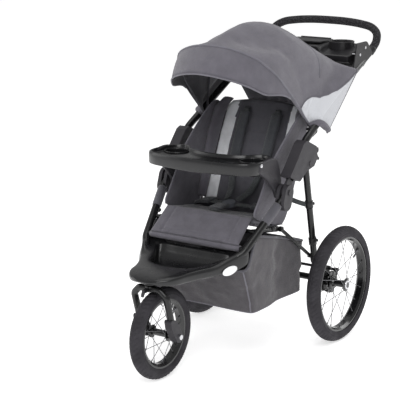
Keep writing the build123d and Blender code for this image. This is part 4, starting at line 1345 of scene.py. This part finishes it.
def child_tray():
    half = [(0, -478), (60, -477), (118, -472), (164, -463), (194, -445), (207, -416), (208, -370), (200, -322), (178, -294),
            (150, -287), (126, -302), (100, -330), (56, -350), (0, -356)]
    loop = catmull(full(half), 180, closed=True)
    L = []

    def add(d, z):
        lp = offset2(loop, d)
        L.append([M(x, y, zz) for (x, y), zz in zip(lp, np.broadcast_to(z, len(lp)))])
    yy = loop[:, 1]
    xx = loop[:, 0]
    ztop = 680 + 0.0 * yy
    # the skirt is deeper at the front middle
    zlow = 640 - 3 * np.exp(-(xx / 90.0) ** 2) * (yy < -420)
    add(14, zlow + 4)
    add(7, zlow + 1)
    add(2.2, zlow)
    add(0.3, zlow + 3)
    add(0, ztop - 14)
    add(0.4, ztop - 5)
    add(2.2, ztop - 1.2)
    add(5, ztop)
    add(8, ztop - 0.8)
    add(10, ztop - 4)
    add(12, ztop - 9)
    add(15, ztop - 12)
    add(19, ztop - 13)
    ob = loft("child_tray_top", L, ["gloss_black"], cap_a=False, cap_b=False)
    # fill the floor and the underside with faces
    bm = bmesh.new()
    bm.from_mesh(ob.data)
    for _ in range(1):
        edges = [e for e in bm.edges if e.is_boundary]
        bmesh.ops.triangle_fill(bm, use_beauty=True, edges=[e for e in edges if e.verts[0].co.z > 0.66])
        edges = [e for e in bm.edges if e.is_boundary]
        bmesh.ops.triangle_fill(bm, use_beauty=True, edges=edges)
    bmesh.ops.recalc_face_normals(bm, faces=bm.faces)
    for f in bm.faces:
        f.smooth = True
    bm.to_mesh(ob.data)
    bm.free()
    for s in (1, -1):
        boolean_cut(ob, cyl_obj("cutter", (s * 148, -350), 39.5, 600, 720))
    es = ob.modifiers.new("edges", "EDGE_SPLIT")
    es.split_angle = math.radians(35)
    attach(ob, "child_tray")
    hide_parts("child_tray")

    def cup(side, s):
        o = cup_obj("child_cup_" + side, (s * 148, -350), 38.6, 671, 624, "gloss_black")
        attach(o, "child_tray")
        return o
    both(cup)


child_tray()


def tray_arms():
    arm = [(-410, 655), (-408, 668), (-396, 675), (-366, 680), (-332, 681), (-304, 674), (-288, 652), (-278, 617), (-272, 575), (-277, 545),
           (-300, 545), (-308, 562), (-330, 588), (-352, 608), (-384, 630), (-410, 647)]
    loop = catmull(arm, 90, closed=True)

    def mk(side, s):
        loops = []
        for d, x in ((12, 197.4), (3, 197.2), (0.8, 198.2), (0, 200.5), (0, 206), (0.8, 209.5), (3.2, 211.2), (9, 212.2), (15, 212.6)):
            lp = offset2(loop, d)
            loops.append([M(s * x, y, z) for y, z in lp])
        return loft("tray_arm_" + side, loops, ["grey_plastic"], level=1)
    obs = both(mk)
    for o in obs:
        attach(o, "front_frame")
    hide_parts("tray_arms")

    def pin(side, s):
        loops = []
        for r, x in ((6.5, 210), (6.5, 213.2), (5.4, 214.4), (2.5, 214.9), (0.3, 215)):
            loops.append([M(s * x, -400 + r * math.cos(a), 668 + r * math.sin(a)) for a in np.linspace(0, 2 * math.pi, 24, endpoint=False)])
        return loft("tray_rivet_" + side, loops, ["steel"])
    for o in both(pin):
        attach(o, "front_frame")


tray_arms()

# ----------------------------------------------------------------------
# small things on the frame
# ----------------------------------------------------------------------
for n_, w_ in (("fold_housings_upper", 0.003), ("fold_housings_lower", 0.003), ("fork_boots", 0.002), ("axle_housings", 0.002),
               ("handle_plates", 0.0008), ("parent_tray_lid", 0.0015), ("brake_bar", 0.001)):
    bevel_node(n_, w_)


def handle():
    half = [(209, 312, 953), (214, 326, 969), (217, 341, 987), (208, 360, 1013), (180, 374, 1031), (132, 382, 1040), (66, 387, 1045), (0, 388, 1046)]
    pts = [M(*p) for p in half] + [M(-x, y, z) for x, y, z in reversed(half[:-1])]
    core = tube_mesh("handle_core", pts, 0.0100, "black_tube", seg=24, n=90)
    q = catmull([tuple(p) for p in pts], 200)
    L_ = np.r_[0, np.cumsum(np.linalg.norm(np.diff(q, axis=0), axis=1))]
    keep = [Vector(v) for v, l in zip(q, L_) if 0.0145 < l < L_[-1] - 0.0145]
    r = [0.0140] * len(keep)
    r[0], r[1], r[-2], r[-1] = 0.0118, 0.0134, 0.0134, 0.0118
    grip = tube_mesh("grip_foam", keep, r, "foam", seg=28)
    for o, sl, nd in ((core, "black_tube", "handle_loop"), (grip, "foam", "handle_grip")):
        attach(o, "handle_frame")
        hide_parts(nd)


handle()


def parent_tray():
    """Moulded tray: a flat middle with the lid, two cup wells that stand up, and a sloping front."""
    loops = []
    xs = np.r_[-199, -198.2, -195, np.linspace(-188, 188, 60), 195, 198.2, 199]
    for x in xs:
        a = min(max((abs(x) - 74) / 22.0, 0), 1)
        a = a * a * (3 - 2 * a)
        inset = {199: 5.0, 198.2: 2.0, 195: 0.6}.get(round(abs(float(x)), 1), 0.0)
        deck_f = 979 - 27 * a
        deck_r = 985 - 6 * a
        prof = [(196 + inset, 902 + inset), (186 + inset, 925), (174 + inset, deck_f - 22), (169 + inset, deck_f - 8), (169.5 + inset, deck_f - 2), (172 + inset, deck_f - inset),
                (190, deck_f + 1.5 - inset), (214, deck_f * 0.6 + deck_r * 0.4 - inset), (250, deck_f * 0.25 + deck_r * 0.75 - inset), (290, deck_r - inset), (312 - inset, deck_r - inset),
                (316.5 - inset, deck_r - 3 - inset), (317.5 - inset, deck_r - 12), (316 - inset, 940), (308 - inset, 915 + inset), (290 - inset, 903 + inset), (240, 898 + inset)]
        loops.append([M(x, y, z) for y, z in prof])
    ob = loft("parent_tray_body", loops, ["black_plastic"])
    for s in (1, -1):
        boolean_cut(ob, cyl_obj("cutter", (s * 128, 254), 41.5, 905, 1020, mat="black_plastic"))
    boolean_cut(ob, box_obj("cutter", (-68, 68), (201, 291), (955, 1020)))
    es_ = ob.modifiers.new("edges", "EDGE_SPLIT")
    es_.split_angle = math.radians(38)
    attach(ob, "handle_frame")
    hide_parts("parent_tray")

    def cup(side, s):
        o = cup_obj("parent_cup_" + side, (s * 128, 254), 39.8, 991.5, 925, "black_plastic", wall=3.6)
        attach(o, "handle_frame")
        return o
    both(cup)


def box_obj(name, xr, yr, zr_):
    v = [M(x, y, z) for x in xr for y in yr for z in zr_]
    f = [(0, 1, 3, 2), (4, 6, 7, 5), (0, 4, 5, 1), (2, 3, 7, 6), (0, 2, 6, 4), (1, 5, 7, 3)]
    return finish_mesh(name, v, f, ["black_plastic"], smooth=False)


parent_tray()


def collars():
    def mk(side, s):
        a, b_ = Vector((s * 209, 312, 953)), Vector((s * 215.5, 332, 975.5))
        pts = [M(*(a + (b_ - a) * t)) for t in (-0.10, 0.0, 0.5, 0.62)]
        return tube_mesh("grip_collar_" + side, pts, [0.0150, 0.0152, 0.0154, 0.0146], "black_plastic", seg=24)
    for o in both(mk):
        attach(o, "handle_frame")

    def knob(side, s):
        c = [(-347, 457)]
        obs = []
        for k, (y, z) in enumerate(c):
            x0 = s * 219
            loops = []
            for r, dx in ((4, 0), (4, 4), (8, 5), (8.5, 8), (8, 11), (5, 12.4), (0.4, 12.8)):
                loops.append([M(x0 + s * dx, y + r * math.cos(a), z + r * math.sin(a)) for a in np.linspace(0, 2 * math.pi, 20, endpoint=False)])
            obs.append(loft("frame_knob_%s_%d" % (side, k), loops, ["black_plastic"]))
        return obs
    for obs in both(knob):
        for o in obs:
            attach(o, "front_frame")


collars()

def ring(name, body, x, c, prof, mat, seg=40, axis_x=True):
    """Turned piece about an X axis: prof is (x offset, radius)."""
    loops = [[M(x + dx, c[0] + r * math.cos(a), c[1] + r * math.sin(a)) for a in np.linspace(0, 2 * math.pi, seg, endpoint=False)] for dx, r in prof]
    o = loft(name, loops, [mat])
    es_ = o.modifiers.new("edges", "EDGE_SPLIT")
    es_.split_angle = math.radians(40)
    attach(o, body)
    return o


for _side, _s in (("left", 1), ("right", -1)):
    _o = ring("hub_cap_" + _side, "rear_wheel_" + _side, _s * 309, (0, 199),
              [(_s * d, r) for d, r in ((-4, 12), (-4, 15.5), (1.5, 16), (3.2, 15), (3.6, 11), (2.6, 9.5), (2.6, 0.3))], "steel")
    for _k, _side2 in ((1, "out"), (-1, "in")):
        _o = ring("hub_face_%s_%s" % (_side, _side2), "rear_wheel_" + _side, _s * 280 + _k * 24.5, (0, 199),
                  [(_k * d, r) for d, r in ((0, 14), (0, 23), (1.6, 23.4), (2.4, 20), (4, 15.5), (4.5, 13), (4.5, 12.4))], "rim_black")
for _k, _side2 in ((1, "left"), (-1, "right")):
    _o = ring("front_hub_face_" + _side2, "front_wheel", _k * 31.5, (-651, 149),
              [(_k * d, r) for d, r in ((0, 11), (0, 20.5), (1.6, 21), (2.4, 18), (4, 13), (4.2, 9.6))], "rim_black")


def brace_straps():
    """Webbing from behind the seat to the rear legs."""
    def mk(side, s):
        pts = [M(s * 178, -172, 516), M(s * 196, -158, 506), M(s * 212, -140, 497), M(s * 218, -131, 493)]
        return ribbon("brace_strap_" + side, pts, 0.016, 0.002, "webbing", lambda t: Vector((s * 0.5, -0.75, 0.25)), n=24)
    for o in both(mk):
        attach(o, "rear_legs")

    def clamp(side, s):
        a, b_ = Vector((s * 232, -166, 649)), Vector((s * 209, -32, 199))
        obs = []
        for k, z in enumerate((493, 357, 292)):
            t = (649 - z) / 450.0
            c = a + (b_ - a) * t
            d = (b_ - a).normalized()
            pts = [M(*(c - d * 13)), M(*(c - d * 12)), M(*(c + d * 12)), M(*(c + d * 13))]
            o = tube_mesh("leg_clamp_%s_%d" % (side, k), pts, [0.0122, 0.0136, 0.0136, 0.0122], "black_plastic", seg=24)
            obs.append(o)
            e = Vector((s * 0.45, 0.89, 0.0)).normalized()
            q = [M(*(c + e * 10)), M(*(c + e * 19)), M(*(c + e * 21))]
            obs.append(tube_mesh("leg_knob_%s_%d" % (side, k), q, [0.005, 0.0055, 0.003], "black_plastic", seg=16))
        return obs
    for obs in both(clamp):
        for o in obs:
            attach(o, "rear_legs")


brace_straps()


def sleeves():
    """Fabric sleeves on the upper front tubes."""
    def mk(side, s):
        a, b_ = Vector((s * 232, -304, 548)), Vector((s * 190, -468, 398))
        pts = [M(*(a + (b_ - a) * t)) for t in (0.12, 0.14, 0.30, 0.44, 0.46)]
        return tube_mesh("frame_sleeve_" + side, pts, [0.0140, 0.0152, 0.0155, 0.0152, 0.0140], "fabric_dark", seg=24)
    for o in both(mk):
        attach(o, "front_frame")


sleeves()
